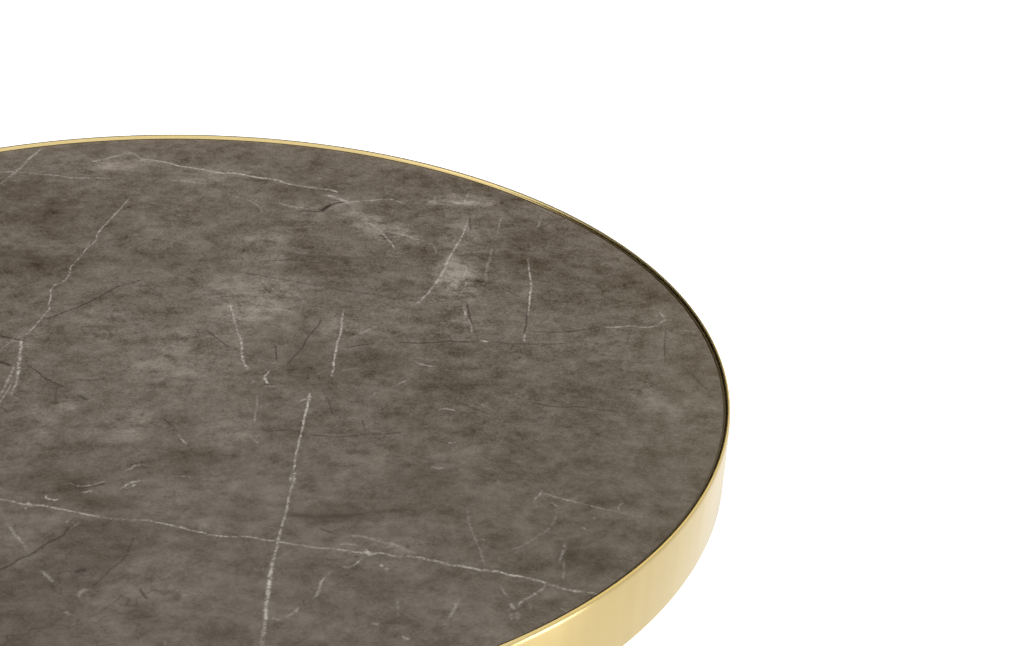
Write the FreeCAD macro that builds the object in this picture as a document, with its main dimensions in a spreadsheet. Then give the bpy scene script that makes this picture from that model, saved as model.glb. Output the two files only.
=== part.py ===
"""A round side table: an inlaid stone top in a rolled metal band, on a column and a weighted base.

The table stands on the XY plane with +Z up, and its origin is the centre of its footprint on the floor.
All lengths are millimetres. The driving sizes are cells of the sheet, and every other size or place is an
expression on those cells.
"""

import FreeCAD
import Part
import Sketcher

import math
import os

DRIVING_SIZES = {
    # The whole table.
    "table_height": 550,
    "top_diameter": 450,
    # The band that frames the top: a strip rolled into a ring, rounded along its crest.
    # It reaches from the crest down past the tabs by its skirt.
    "band_wall": 2.5,
    "band_skirt": 3,
    "band_foot_radius": 0.5,
    # The stone, let in a little below the crest.
    "stone_recess": 1.5,
    "stone_thickness": 6,
    "stone_gap": 0.25,
    "stone_arris": 0.2,
    # The silicone dabs that bed the stone on the board.
    "dab_thickness": 2,
    "dab_diameter": 28,
    "dab_inset": 45,
    # The board that carries the stone and takes the screws.
    "board_thickness": 15,
    "board_gap": 0.8,
    "board_arris": 0.8,
    # The tabs welded inside the band, each with a screw up into the board.
    "tab_thickness": 2.5,
    "tab_width": 22,
    "tab_length": 28,
    "tab_corner_radius": 5,
    "tab_hole_inset": 16,
    "tab_screw_diameter": 4,
    "tab_screw_length": 12,
    "tab_screw_head_diameter": 8,
    "tab_screw_head_height": 2.4,
    "tab_screw_crown_radius": 1.2,
    "tab_screw_tip": 3,
    # The plate under the board, and its countersunk screws.
    "plate_diameter": 180,
    "plate_thickness": 4,
    "plate_edge_radius": 1,
    "plate_screw_inset": 20,
    "plate_screw_diameter": 5,
    "plate_screw_length": 15,
    "plate_screw_head_diameter": 9.6,
    "plate_screw_head_height": 2.3,
    "plate_screw_tip": 4,
    # Drive recesses and running room of all wood screws.
    "drive_width": 1.1,
    "drive_length": 4.4,
    "drive_depth": 1.3,
    "screw_hole_clearance": 0.25,
    "pilot_clearance": 0.05,
    # The column, a tube over a plug at each end.
    "column_diameter": 40,
    "column_wall": 1.5,
    "top_plug_length": 30,
    "top_plug_roof": 5,
    "base_plug_length": 28,
    "plug_clearance": 0.1,
    "plug_lead": 1.5,
    # The trim collars round the column's ends.
    "collar_diameter": 58,
    "collar_height": 9,
    "collar_edge_radius": 2.5,
    "collar_clearance": 0.1,
    # The tie rod that draws the column together, with its washers and nut.
    "rod_diameter": 10,
    "rod_clearance": 0.25,
    "thread_clearance": 0.05,
    "rod_chamfer": 1,
    "rod_tail": 2,
    "rod_roof_gap": 2,
    "washer_diameter": 28,
    "washer_thickness": 2,
    "lock_washer_diameter": 18,
    "lock_washer_thickness": 2.2,
    "lock_washer_split": 1.6,
    "nut_width": 16,
    "nut_height": 8,
    # The base: a pressed cover over an iron weight.
    "base_diameter": 320,
    "base_edge_radius": 6,
    "cover_wall": 1.2,
    "cover_hole_clearance": 0.3,
    "floor_gap": 5,
    "weight_thickness": 14,
    "weight_clearance": 1.3,
    "weight_arris": 1,
    "weight_web": 5,
    "nut_recess_room": 3,
    # The levelling feet: an insert in the weight, a stem that turns in it and a pad on the stem's ball.
    # Each foot is stored screwed right in, with the stem's hexagon up against the insert's flange.
    "foot_inset": 35,
    "insert_diameter": 14,
    "insert_flange_diameter": 19,
    "insert_flange_thickness": 1.2,
    "insert_setback": 2,
    "press_clearance": 0.05,
    "stem_diameter": 8,
    "stem_end_gap": 1.6,
    "stem_chamfer": 1,
    "stem_hex_width": 13,
    "stem_hex_height": 4,
    "neck_diameter": 4.5,
    "neck_gap": 0.7,
    "ball_diameter": 7,
    "ball_clearance": 0.1,
    "pad_diameter": 34,
    "pad_height": 6.5,
    "pad_wall_height": 3,
    "pad_crown_diameter": 16,
    "pad_floor": 1,
    "pad_edge_radius": 0.8,
    # How far a cutting shape runs past the solid it cuts.
    "overrun": 1,
}

TAB_COUNT = 6
PLATE_SCREW_COUNT = 6
DAB_INNER_COUNT = 6
DAB_OUTER_COUNT = 12
# Radius of the inner ring of dabs, as a share of the outer ring's.
DAB_INNER_SHARE = 0.43
FOOT_SHARES = {"right": (1, 0), "back": (0, 1), "left": (-1, 0), "front": (0, -1)}
# Radii of the band's crest, as shares of its wall.
CREST_OUTER_SHARE = 0.2
CREST_INNER_SHARE = 0.78
HEX_CORNER_SHARE = 1 / math.sqrt(3)
HEX_BEVEL_SHARE = math.tan(math.radians(30))
FULL_TURN = 360
HEX_SIDES = 6
SEEK_TOLERANCE = 1e-4

doc = FreeCAD.newDocument("side_table")
sheet = doc.addObject("Spreadsheet::Sheet", "Sizes")
for row, (alias, number) in enumerate(DRIVING_SIZES.items(), start=1):
    sheet.set(f"A{row}", alias.replace("_", " "))
    sheet.set(f"B{row}", str(number))
    sheet.setAlias(f"B{row}", alias)
doc.recompute()


class Measure:
    """A length or count that holds its number and the sheet expression that the number comes from."""

    def __init__(self, value, text):
        self.value = value
        self.text = text

    def __add__(self, other):
        return Measure(self.value + other.value, f"({self.text} + {other.text})")

    def __sub__(self, other):
        return Measure(self.value - other.value, f"({self.text} - {other.text})")

    def __mul__(self, share):
        return Measure(self.value * share, f"({self.text} * {share!r})")

    def __truediv__(self, share):
        return Measure(self.value / share, f"({self.text} / {share!r})")

    def __neg__(self):
        return Measure(-self.value, f"(-{self.text})")


class Sizes:
    """The sheet's cells by name, each as a Measure."""

    def __getattr__(self, alias):
        return Measure(float(sheet.get(alias)), f"Sizes.{alias}")


def leg_of(hypotenuse, leg):
    """The other leg of a right triangle, as a Measure."""
    value = math.sqrt(hypotenuse.value**2 - leg.value**2)
    return Measure(value, f"sqrt(({hypotenuse.text}) ^ 2 - ({leg.text}) ^ 2)")


size = Sizes()
ZERO = Measure(0.0, "0")

# Radii and levels that several pieces share.
top_radius = size.top_diameter / 2
band_inner_radius = top_radius - size.band_wall
stone_radius = band_inner_radius - size.stone_gap
column_radius = size.column_diameter / 2
column_bore_radius = column_radius - size.column_wall
plug_radius = column_bore_radius - size.plug_clearance
rod_radius = size.rod_diameter / 2
rod_hole_radius = rod_radius + size.rod_clearance
rod_thread_radius = rod_radius + size.thread_clearance
base_radius = size.base_diameter / 2
foot_radius = base_radius - size.foot_inset
insert_radius = size.insert_diameter / 2
insert_hole_radius = insert_radius + size.press_clearance
insert_flange_radius = size.insert_flange_diameter / 2
insert_bore_radius = size.stem_diameter / 2 + size.thread_clearance
socket_radius = size.ball_diameter / 2 + size.ball_clearance

ball_level = size.pad_floor + socket_radius
hex_level = size.pad_height + size.neck_gap
weight_level = hex_level + size.stem_hex_height + size.insert_flange_thickness
cover_roof_level = weight_level + size.weight_thickness
base_top_level = cover_roof_level + size.cover_wall
nut_recess_depth = size.weight_thickness - size.weight_web
recess_roof_level = weight_level + nut_recess_depth
washer_level = recess_roof_level - size.washer_thickness
lock_washer_level = washer_level - size.lock_washer_thickness
nut_level = lock_washer_level - size.nut_height
rod_level = nut_level - size.rod_tail

stone_level = size.table_height - size.stone_recess - size.stone_thickness
dab_level = stone_level - size.dab_thickness
board_level = dab_level - size.board_thickness
plate_level = board_level - size.plate_thickness
tab_level = board_level - size.tab_thickness
band_level = tab_level - size.band_skirt
band_height = size.table_height - band_level
column_length = plate_level - base_top_level

tab_screw_circle_radius = band_inner_radius - size.tab_hole_inset
plate_screw_circle_radius = size.plate_diameter / 2 - size.plate_screw_inset


def new_body(label, level, along_x=ZERO, along_y=ZERO):
    """An empty body whose own origin stands at that place."""
    body = doc.addObject("PartDesign::Body", label)
    body.Label = label
    body.AllowCompound = True
    for axis, place in (("x", along_x), ("y", along_y), ("z", level)):
        body.setExpression(f"Placement.Base.{axis}", place.text)
    return body


def origin_of(body, role):
    """One of the body's own origin planes or axes."""
    return next(feature for feature in body.Origin.OriginFeatures if feature.Role == role)


def new_sketch(body, name, plane):
    """An empty sketch on one of the body's origin planes."""
    sketch = body.newObject("Sketcher::SketchObject", name)
    sketch.AttachmentSupport = (origin_of(body, plane), [""])
    sketch.MapMode = "FlatFace"
    return sketch


def pin_point(sketch, edge, along_x, along_y):
    """Fixes the start of an edge at a distance from the sketch's origin along each axis."""
    for kind, axis, place in (("DistanceX", -2, along_x), ("DistanceY", -1, along_y)):
        if place is ZERO:
            sketch.addConstraint(Sketcher.Constraint("PointOnObject", edge, 1, axis))
            continue
        if place.value > 0:
            ends, distance = (-1, 1, edge, 1), place
        else:
            ends, distance = (edge, 1, -1, 1), -place
        number = sketch.addConstraint(Sketcher.Constraint(kind, *ends, distance.value))
        sketch.setExpression(f"Constraints[{number}]", distance.text)


def outline(body, name, plane, points):
    """A closed sketch of straight edges through points that are pairs of Measures."""
    sketch = new_sketch(body, name, plane)
    corners = [FreeCAD.Vector(x.value, y.value, 0) for x, y in points]
    count = len(points)
    for start in range(count):
        sketch.addGeometry(Part.LineSegment(corners[start], corners[(start + 1) % count]))
    for start in range(count):
        sketch.addConstraint(Sketcher.Constraint("Coincident", start, 2, (start + 1) % count, 1))
    for start, (along_x, along_y) in enumerate(points):
        pin_point(sketch, start, along_x, along_y)
    doc.recompute()
    return sketch


def circle(sketch, radius, along_x=ZERO):
    """A circle in the sketch, with its centre on the sketch's X axis."""
    centre = FreeCAD.Vector(along_x.value, 0, 0)
    edge = sketch.addGeometry(Part.Circle(centre, FreeCAD.Vector(0, 0, 1), radius.value))
    number = sketch.addConstraint(Sketcher.Constraint("Radius", edge, radius.value))
    sketch.setExpression(f"Constraints[{number}]", radius.text)
    sketch.addConstraint(Sketcher.Constraint("PointOnObject", edge, 3, -1))
    if along_x is ZERO:
        sketch.addConstraint(Sketcher.Constraint("PointOnObject", edge, 3, -2))
        return
    number = sketch.addConstraint(Sketcher.Constraint("DistanceX", -1, 1, edge, 3, along_x.value))
    sketch.setExpression(f"Constraints[{number}]", along_x.text)


def hexagon(body, name, width):
    """A sketch of a regular hexagon of that width across its flats, centred on the origin."""
    sketch = new_sketch(body, name, "XY_Plane")
    corner = width * HEX_CORNER_SHARE
    turns = [math.radians(FULL_TURN / HEX_SIDES * step) for step in range(HEX_SIDES)]
    corners = [FreeCAD.Vector(math.cos(turn), math.sin(turn), 0) * corner.value for turn in turns]
    for start in range(HEX_SIDES):
        sketch.addGeometry(Part.LineSegment(corners[start], corners[(start + 1) % HEX_SIDES]))
    centre = FreeCAD.Vector(0, 0, 0)
    ring = sketch.addGeometry(Part.Circle(centre, FreeCAD.Vector(0, 0, 1), corner.value), True)
    sketch.addConstraint(Sketcher.Constraint("Coincident", ring, 3, -1, 1))
    number = sketch.addConstraint(Sketcher.Constraint("Radius", ring, corner.value))
    sketch.setExpression(f"Constraints[{number}]", corner.text)
    for start in range(HEX_SIDES):
        sketch.addConstraint(Sketcher.Constraint("Coincident", start, 2, (start + 1) % HEX_SIDES, 1))
        sketch.addConstraint(Sketcher.Constraint("PointOnObject", start, 1, ring))
    for start in range(1, HEX_SIDES):
        sketch.addConstraint(Sketcher.Constraint("Equal", 0, start))
    sketch.addConstraint(Sketcher.Constraint("PointOnObject", 0, 1, -1))
    doc.recompute()
    return sketch


def settle(body, feature):
    """Computes a new feature and makes it the body's result."""
    body.Tip = feature
    doc.recompute()
    return feature


def extrude(body, name, sketch, length):
    """Pads a sketch upwards."""
    pad = body.newObject("PartDesign::Pad", name)
    pad.Profile = sketch
    pad.setExpression("Length", length.text)
    return settle(body, pad)


def turn(body, name, points, axis="V_Axis"):
    """Revolves an outline of radii and heights about the body's Z axis, or about one of its own edges."""
    sketch = outline(body, f"{name}_outline", "XZ_Plane", points)
    revolution = body.newObject("PartDesign::Revolution", name)
    revolution.Profile = sketch
    revolution.ReferenceAxis = (sketch, [axis])
    revolution.Angle = FULL_TURN
    return settle(body, revolution)


def must_remove(body, before):
    """Stops the build if a cut took nothing away."""
    if body.Shape.Volume > before - SEEK_TOLERANCE:
        raise RuntimeError(f"a cut in {body.Label} removed nothing")


def sink(body, name, sketch, depth):
    """Cuts a sketch upwards into the body."""
    before = body.Shape.Volume
    pocket = body.newObject("PartDesign::Pocket", name)
    pocket.Profile = sketch
    pocket.Reversed = True
    pocket.setExpression("Length", depth.text)
    settle(body, pocket)
    must_remove(body, before)
    return pocket


def turn_away(body, name, points, axis="V_Axis"):
    """Cuts a revolved outline out of the body."""
    before = body.Shape.Volume
    sketch = outline(body, f"{name}_outline", "XZ_Plane", points)
    groove = body.newObject("PartDesign::Groove", name)
    groove.Profile = sketch
    groove.ReferenceAxis = (sketch, [axis])
    groove.Angle = FULL_TURN
    settle(body, groove)
    must_remove(body, before)
    return groove


def repeat(body, name, features, count):
    """Repeats features evenly round the body's Z axis."""
    pattern = body.newObject("PartDesign::PolarPattern", name)
    pattern.Originals = features
    pattern.Axis = (origin_of(body, "Z_Axis"), [""])
    pattern.Angle = FULL_TURN
    pattern.Occurrences = count
    return settle(body, pattern)


def ring_edge(feature, radius, level):
    """The name of the feature's circular edge of that radius about Z, at that height."""
    for number, edge in enumerate(feature.Shape.Edges, start=1):
        if not isinstance(edge.Curve, Part.Circle):
            continue
        off_radius = abs(edge.Curve.Radius - radius.value)
        off_level = abs(edge.Curve.Center.z - level.value)
        off_axis = math.hypot(edge.Curve.Center.x, edge.Curve.Center.y)
        if max(off_radius, off_level, off_axis) < SEEK_TOLERANCE:
            return f"Edge{number}"
    raise RuntimeError(f"{feature.Label} has no such ring edge")


def upright_edges(feature, along_x):
    """The names of the feature's vertical edges at that distance along X."""
    names = []
    for number, edge in enumerate(feature.Shape.Edges, start=1):
        box = edge.BoundBox
        upright = box.XLength < SEEK_TOLERANCE and box.YLength < SEEK_TOLERANCE
        if upright and abs(box.XMin - along_x.value) < SEEK_TOLERANCE:
            names.append(f"Edge{number}")
    return names


def soften(body, name, kind, radius, feature, edges):
    """Fillets or chamfers edges of the body's last feature."""
    dressing = body.newObject(f"PartDesign::{kind}", name)
    dressing.Base = (feature, edges)
    dressing.setExpression("Radius" if kind == "Fillet" else "Size", radius.text)
    return settle(body, dressing)


def disc(body, name, radius, thickness):
    """A plain disc about the body's Z axis."""
    sketch = new_sketch(body, f"{name}_outline", "XY_Plane")
    circle(sketch, radius)
    doc.recompute()
    return extrude(body, name, sketch, thickness)


def ring(body, name, inner, outer, height):
    """A plain ring about the body's Z axis."""
    sketch = new_sketch(body, f"{name}_outline", "XY_Plane")
    circle(sketch, outer)
    circle(sketch, inner)
    doc.recompute()
    return extrude(body, name, sketch, height)


def round_hole(body, name, radius, depth, along_x=ZERO):
    """A round hole up into the body from its lower face."""
    sketch = new_sketch(body, f"{name}_outline", "XY_Plane")
    circle(sketch, radius, along_x)
    doc.recompute()
    return sink(body, name, sketch, depth)


def bevel_hex_end(body, name, width, low, high):
    """Turns the six corners off one end of a hexagon: high is the end's level, low the other way."""
    far = width * HEX_CORNER_SHARE + size.overrun
    fall = (far - width / 2) * HEX_BEVEL_SHARE
    shoulder = high - fall if high.value > low.value else high + fall
    return turn_away(body, name, [(width / 2, high), (far, shoulder), (far, high)])


def make_rim_band():
    """The rolled band with a rounded crest and softened foot."""
    body = new_body("rim_band", band_level)
    feature = ring(body, "rolled_bar", band_inner_radius, top_radius, band_height)
    crest = [ring_edge(feature, top_radius, band_height)]
    feature = soften(body, "outer_crest", "Fillet", size.band_wall * CREST_OUTER_SHARE, feature, crest)
    crest = [ring_edge(feature, band_inner_radius, band_height)]
    feature = soften(body, "inner_crest", "Fillet", size.band_wall * CREST_INNER_SHARE, feature, crest)
    foot = [ring_edge(feature, radius, ZERO) for radius in (top_radius, band_inner_radius)]
    soften(body, "foot_edges", "Fillet", size.band_foot_radius, feature, foot)
    return body


def make_stone_top():
    """The inlaid stone, a disc with its arrises taken off."""
    body = new_body("stone_top", stone_level)
    feature = disc(body, "slab", stone_radius, size.stone_thickness)
    edges = [ring_edge(feature, stone_radius, level) for level in (size.stone_thickness, ZERO)]
    soften(body, "arrises", "Chamfer", size.stone_arris, feature, edges)
    return body


def make_bedding_dabs():
    """Two rings of pressed silicone dabs between the stone and the board."""
    body = new_body("bedding_dabs", dab_level)
    outer_ring = stone_radius - size.dab_inset
    rings = {
        "inner": (outer_ring * DAB_INNER_SHARE, DAB_INNER_COUNT),
        "outer": (outer_ring, DAB_OUTER_COUNT),
    }
    for name, (pitch_radius, count) in rings.items():
        sketch = new_sketch(body, f"{name}_dab_outline", "XY_Plane")
        circle(sketch, size.dab_diameter / 2, pitch_radius)
        doc.recompute()
        dab = extrude(body, f"{name}_dab", sketch, size.dab_thickness)
        repeat(body, f"{name}_dabs", [dab], count)
    return body


def make_core_board():
    """The round board, with pilot holes in its underside for both rings of screws."""
    body = new_body("core_board", board_level)
    radius = band_inner_radius - size.board_gap
    feature = disc(body, "panel", radius, size.board_thickness)
    edges = [ring_edge(feature, radius, level) for level in (size.board_thickness, ZERO)]
    soften(body, "arrises", "Chamfer", size.board_arris, feature, edges)
    tab_depth = size.tab_screw_length - size.tab_thickness + size.pilot_clearance
    tab_hole = size.tab_screw_diameter / 2 + size.pilot_clearance
    pilot = round_hole(body, "tab_pilot", tab_hole, tab_depth, tab_screw_circle_radius)
    repeat(body, "tab_pilots", [pilot], TAB_COUNT)
    plate_depth = size.plate_screw_length - size.plate_thickness + size.pilot_clearance
    plate_hole = size.plate_screw_diameter / 2 + size.pilot_clearance
    pilot = round_hole(body, "plate_pilot", plate_hole, plate_depth, plate_screw_circle_radius)
    repeat(body, "plate_pilots", [pilot], PLATE_SCREW_COUNT)
    return body


def make_support_tabs():
    """The flat tabs inside the band, each with a rounded nose and a screw hole."""
    body = new_body("support_tabs", tab_level)
    half_width = size.tab_width / 2
    nose = band_inner_radius - size.tab_length
    heel = leg_of(band_inner_radius, half_width)
    corners = [(nose, -half_width), (heel, -half_width), (heel, half_width), (nose, half_width)]
    sketch = outline(body, "tab_outline", "XY_Plane", corners)
    tab = extrude(body, "tab", sketch, size.tab_thickness)
    tab = soften(body, "nose", "Fillet", size.tab_corner_radius, tab, upright_edges(tab, nose))
    hole_radius = size.tab_screw_diameter / 2 + size.screw_hole_clearance
    round_hole(body, "screw_hole", hole_radius, size.tab_thickness, tab_screw_circle_radius)
    pattern = body.newObject("PartDesign::PolarPattern", "tabs")
    pattern.TransformMode = "Whole shape"
    pattern.Axis = (origin_of(body, "Z_Axis"), [""])
    pattern.Angle = FULL_TURN
    pattern.Occurrences = TAB_COUNT
    settle(body, pattern)
    return body


def cut_drive(body, name, pitch_radius):
    """A cross recess in the underside of a screw head, as two crossed slots."""
    half_length = size.drive_length / 2
    half_width = size.drive_width / 2
    slots = []
    for way, across, along in (("radial", half_length, half_width), ("side", half_width, half_length)):
        low, high = pitch_radius - across, pitch_radius + across
        corners = [(low, -along), (high, -along), (high, along), (low, along)]
        sketch = outline(body, f"{name}_{way}_outline", "XY_Plane", corners)
        slots.append(sink(body, f"{name}_{way}", sketch, size.drive_depth))
    return slots


def make_tab_screws():
    """Pan-head wood screws, one through each tab."""
    body = new_body("tab_screws", tab_level - size.tab_screw_head_height)
    centre = tab_screw_circle_radius
    head = centre + size.tab_screw_head_diameter / 2
    crown = head - size.tab_screw_crown_radius
    shank = centre + size.tab_screw_diameter / 2
    seat = size.tab_screw_head_height
    end = seat + size.tab_screw_length
    points = [
        (centre, ZERO),
        (crown, ZERO),
        (head, size.tab_screw_crown_radius),
        (head, seat),
        (shank, seat),
        (shank, end - size.tab_screw_tip),
        (centre, end),
    ]
    screw = turn(body, "pan_head_screw", points, axis=f"Edge{len(points)}")
    slots = cut_drive(body, "drive", centre)
    repeat(body, "screws", [screw, *slots], TAB_COUNT)
    return body


def make_plate_screws():
    """Countersunk wood screws, flush with the underside of the plate."""
    body = new_body("plate_screws", plate_level)
    centre = plate_screw_circle_radius
    head = centre + size.plate_screw_head_diameter / 2
    shank = centre + size.plate_screw_diameter / 2
    end = size.plate_screw_length
    points = [
        (centre, ZERO),
        (head, ZERO),
        (shank, size.plate_screw_head_height),
        (shank, end - size.plate_screw_tip),
        (centre, end),
    ]
    screw = turn(body, "countersunk_screw", points, axis=f"Edge{len(points)}")
    slots = cut_drive(body, "drive", centre)
    repeat(body, "screws", [screw, *slots], PLATE_SCREW_COUNT)
    return body


def make_mounting_plate():
    """The steel plate under the board, with countersunk holes."""
    body = new_body("mounting_plate", plate_level)
    radius = size.plate_diameter / 2
    feature = disc(body, "plate", radius, size.plate_thickness)
    lower_edge = [ring_edge(feature, radius, ZERO)]
    soften(body, "lower_edge", "Fillet", size.plate_edge_radius, feature, lower_edge)
    centre = plate_screw_circle_radius
    mouth = centre + size.plate_screw_head_diameter / 2 + size.screw_hole_clearance
    bore = centre + size.plate_screw_diameter / 2 + size.screw_hole_clearance
    points = [
        (centre, ZERO),
        (mouth, ZERO),
        (bore, size.plate_screw_head_height),
        (bore, size.plate_thickness),
        (centre, size.plate_thickness),
    ]
    hole = turn_away(body, "countersunk_hole", points, axis=f"Edge{len(points)}")
    repeat(body, "countersunk_holes", [hole], PLATE_SCREW_COUNT)
    return body


def make_top_plug():
    """The plug welded under the plate, tapped from below for the tie rod."""
    body = new_body("top_plug", plate_level - size.top_plug_length)
    feature = disc(body, "plug", plug_radius, size.top_plug_length)
    lead = [ring_edge(feature, plug_radius, ZERO)]
    soften(body, "lead_in", "Chamfer", size.plug_lead, feature, lead)
    round_hole(body, "tapped_hole", rod_thread_radius, size.top_plug_length - size.top_plug_roof)
    return body


def make_base_plug():
    """The plug that stands on the weight inside the column's lower end, bored for the tie rod."""
    body = new_body("base_plug", cover_roof_level)
    feature = ring(body, "plug", rod_hole_radius, plug_radius, size.base_plug_length)
    lead = [ring_edge(feature, plug_radius, size.base_plug_length)]
    soften(body, "lead_in", "Chamfer", size.plug_lead, feature, lead)
    return body


def make_column_tube():
    """The column, from the base's cover to the plate."""
    body = new_body("column_tube", base_top_level)
    ring(body, "tube", column_bore_radius, column_radius, column_length)
    return body


def make_collar(label, level, rounded_level):
    """A trim collar round the column, with its exposed edge rounded."""
    body = new_body(label, level)
    radius = size.collar_diameter / 2
    feature = ring(body, "collar", column_radius + size.collar_clearance, radius, size.collar_height)
    exposed = [ring_edge(feature, radius, rounded_level)]
    soften(body, "exposed_edge", "Fillet", size.collar_edge_radius, feature, exposed)
    return body


def make_tie_rod():
    """The threaded rod from below the nut up into the top plug."""
    body = new_body("tie_rod", rod_level)
    length = plate_level - size.top_plug_roof - size.rod_roof_gap - rod_level
    feature = disc(body, "rod", rod_radius, length)
    ends = [ring_edge(feature, rod_radius, level) for level in (ZERO, length)]
    soften(body, "end_chamfers", "Chamfer", size.rod_chamfer, feature, ends)
    return body


def make_tie_washer():
    """The wide flat washer against the roof of the weight's recess."""
    body = new_body("tie_washer", washer_level)
    ring(body, "washer", rod_hole_radius, size.washer_diameter / 2, size.washer_thickness)
    return body


def make_lock_washer():
    """The split lock washer between the flat washer and the nut."""
    body = new_body("lock_washer", lock_washer_level)
    radius = size.lock_washer_diameter / 2
    ring(body, "coil", rod_hole_radius, radius, size.lock_washer_thickness)
    half_split = size.lock_washer_split / 2
    near, far = rod_hole_radius - size.overrun, radius + size.overrun
    corners = [(near, -half_split), (far, -half_split), (far, half_split), (near, half_split)]
    sketch = outline(body, "split_outline", "XY_Plane", corners)
    sink(body, "split", sketch, size.lock_washer_thickness)
    return body


def make_tie_nut():
    """The hexagon nut on the tie rod, bevelled on both ends."""
    body = new_body("tie_nut", nut_level)
    extrude(body, "hexagon", hexagon(body, "hexagon_outline", size.nut_width), size.nut_height)
    round_hole(body, "thread", rod_thread_radius, size.nut_height)
    bevel_hex_end(body, "upper_bevel", size.nut_width, ZERO, size.nut_height)
    bevel_hex_end(body, "lower_bevel", size.nut_width, size.nut_height, ZERO)
    return body


def make_base_cover():
    """The pressed cover of the base: a dish turned over, with one rounded edge and a hole for the plug."""
    body = new_body("base_cover", size.floor_gap)
    top = base_top_level - size.floor_gap
    roof = top - size.cover_wall
    inside = base_radius - size.cover_wall
    hole = plug_radius + size.cover_hole_clearance
    points = [
        (hole, roof),
        (inside, roof),
        (inside, ZERO),
        (base_radius, ZERO),
        (base_radius, top),
        (hole, top),
    ]
    feature = turn(body, "dish", points)
    outer = [ring_edge(feature, base_radius, top)]
    feature = soften(body, "outer_edge", "Fillet", size.base_edge_radius, feature, outer)
    inner = [ring_edge(feature, inside, roof)]
    soften(body, "inner_edge", "Fillet", size.base_edge_radius - size.cover_wall, feature, inner)
    return body


def make_base_weight():
    """The iron weight, with a recess for the nut and a hole for each foot's insert."""
    body = new_body("base_weight", weight_level)
    radius = base_radius - size.cover_wall - size.weight_clearance
    feature = disc(body, "disc", radius, size.weight_thickness)
    upper = [ring_edge(feature, radius, size.weight_thickness)]
    feature = soften(body, "upper_bevel", "Chamfer", size.base_edge_radius, feature, upper)
    lower = [ring_edge(feature, radius, ZERO)]
    soften(body, "lower_arris", "Chamfer", size.weight_arris, feature, lower)
    round_hole(body, "rod_hole", rod_hole_radius, size.weight_thickness)
    recess_radius = size.washer_diameter / 2 + size.nut_recess_room
    round_hole(body, "nut_recess", recess_radius, nut_recess_depth)
    foot_hole = round_hole(body, "foot_hole", insert_hole_radius, size.weight_thickness, foot_radius)
    repeat(body, "foot_holes", [foot_hole], len(FOOT_SHARES))
    return body


def make_foot_inserts():
    """Flanged threaded inserts, pressed up into the weight."""
    body = new_body("foot_inserts", weight_level - size.insert_flange_thickness)
    length = size.weight_thickness - size.insert_setback + size.insert_flange_thickness
    points = [
        (foot_radius, ZERO),
        (foot_radius + insert_flange_radius, ZERO),
        (foot_radius + insert_flange_radius, size.insert_flange_thickness),
        (foot_radius + insert_radius, size.insert_flange_thickness),
        (foot_radius + insert_radius, length),
        (foot_radius, length),
    ]
    insert = turn(body, "insert", points, axis=f"Edge{len(points)}")
    bore = round_hole(body, "thread", insert_bore_radius, length, foot_radius)
    repeat(body, "inserts", [insert, bore], len(FOOT_SHARES))
    return body


def foot_place(place):
    """A foot's distances along X and Y."""
    return tuple(foot_radius * share for share in FOOT_SHARES[place])


def make_foot_stem(place):
    """A foot's stem: a ball, a neck, a hexagon for the spanner and the thread."""
    body = new_body(f"foot_stem_{place}", ball_level, *foot_place(place))
    neck = size.neck_diameter / 2
    thread = size.stem_diameter / 2
    hex_foot = hex_level - ball_level
    hex_top = hex_foot + size.stem_hex_height
    end = cover_roof_level - size.stem_end_gap - ball_level
    points = [
        (ZERO, ZERO),
        (neck, ZERO),
        (neck, hex_foot),
        (thread, hex_foot),
        (thread, end - size.stem_chamfer),
        (thread - size.stem_chamfer, end),
        (ZERO, end),
    ]
    turn(body, "shank", points)
    ball = body.newObject("PartDesign::AdditiveSphere", "ball")
    ball.setExpression("Radius", (size.ball_diameter / 2).text)
    settle(body, ball)
    sketch = hexagon(body, "spanner_hexagon_outline", size.stem_hex_width)
    sketch.setExpression("AttachmentOffset.Base.z", hex_foot.text)
    extrude(body, "spanner_hexagon", sketch, size.stem_hex_height)
    bevel_hex_end(body, "upper_bevel", size.stem_hex_width, hex_foot, hex_top)
    bevel_hex_end(body, "lower_bevel", size.stem_hex_width, hex_top, hex_foot)
    return body


def make_foot_pad(place):
    """A foot's pad: a low cone with a socket for the stem's ball."""
    body = new_body(f"foot_pad_{place}", ZERO, *foot_place(place))
    rim = size.pad_diameter / 2
    points = [
        (ZERO, ZERO),
        (rim, ZERO),
        (rim, size.pad_wall_height),
        (size.pad_crown_diameter / 2, size.pad_height),
        (ZERO, size.pad_height),
    ]
    feature = turn(body, "pad", points)
    edges = [ring_edge(feature, rim, level) for level in (ZERO, size.pad_wall_height)]
    soften(body, "rim_edges", "Fillet", size.pad_edge_radius, feature, edges)
    before = body.Shape.Volume
    socket = body.newObject("PartDesign::SubtractiveSphere", "socket")
    socket.AttachmentSupport = (origin_of(body, "XY_Plane"), [""])
    socket.MapMode = "FlatFace"
    socket.setExpression("Radius", socket_radius.text)
    socket.setExpression("AttachmentOffset.Base.z", ball_level.text)
    settle(body, socket)
    must_remove(body, before)
    return body


def make_pieces():
    """Every piece of the table, from the top down."""
    pieces = [
        make_rim_band(),
        make_stone_top(),
        make_bedding_dabs(),
        make_core_board(),
        make_support_tabs(),
        make_tab_screws(),
        make_mounting_plate(),
        make_plate_screws(),
        make_top_plug(),
        make_column_tube(),
        make_collar("top_collar", plate_level - size.collar_height, ZERO),
        make_collar("base_collar", base_top_level, size.collar_height),
        make_tie_rod(),
        make_base_plug(),
        make_base_cover(),
        make_base_weight(),
        make_tie_washer(),
        make_lock_washer(),
        make_tie_nut(),
        make_foot_inserts(),
    ]
    for place in FOOT_SHARES:
        pieces += [make_foot_stem(place), make_foot_pad(place)]
    return pieces


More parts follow.
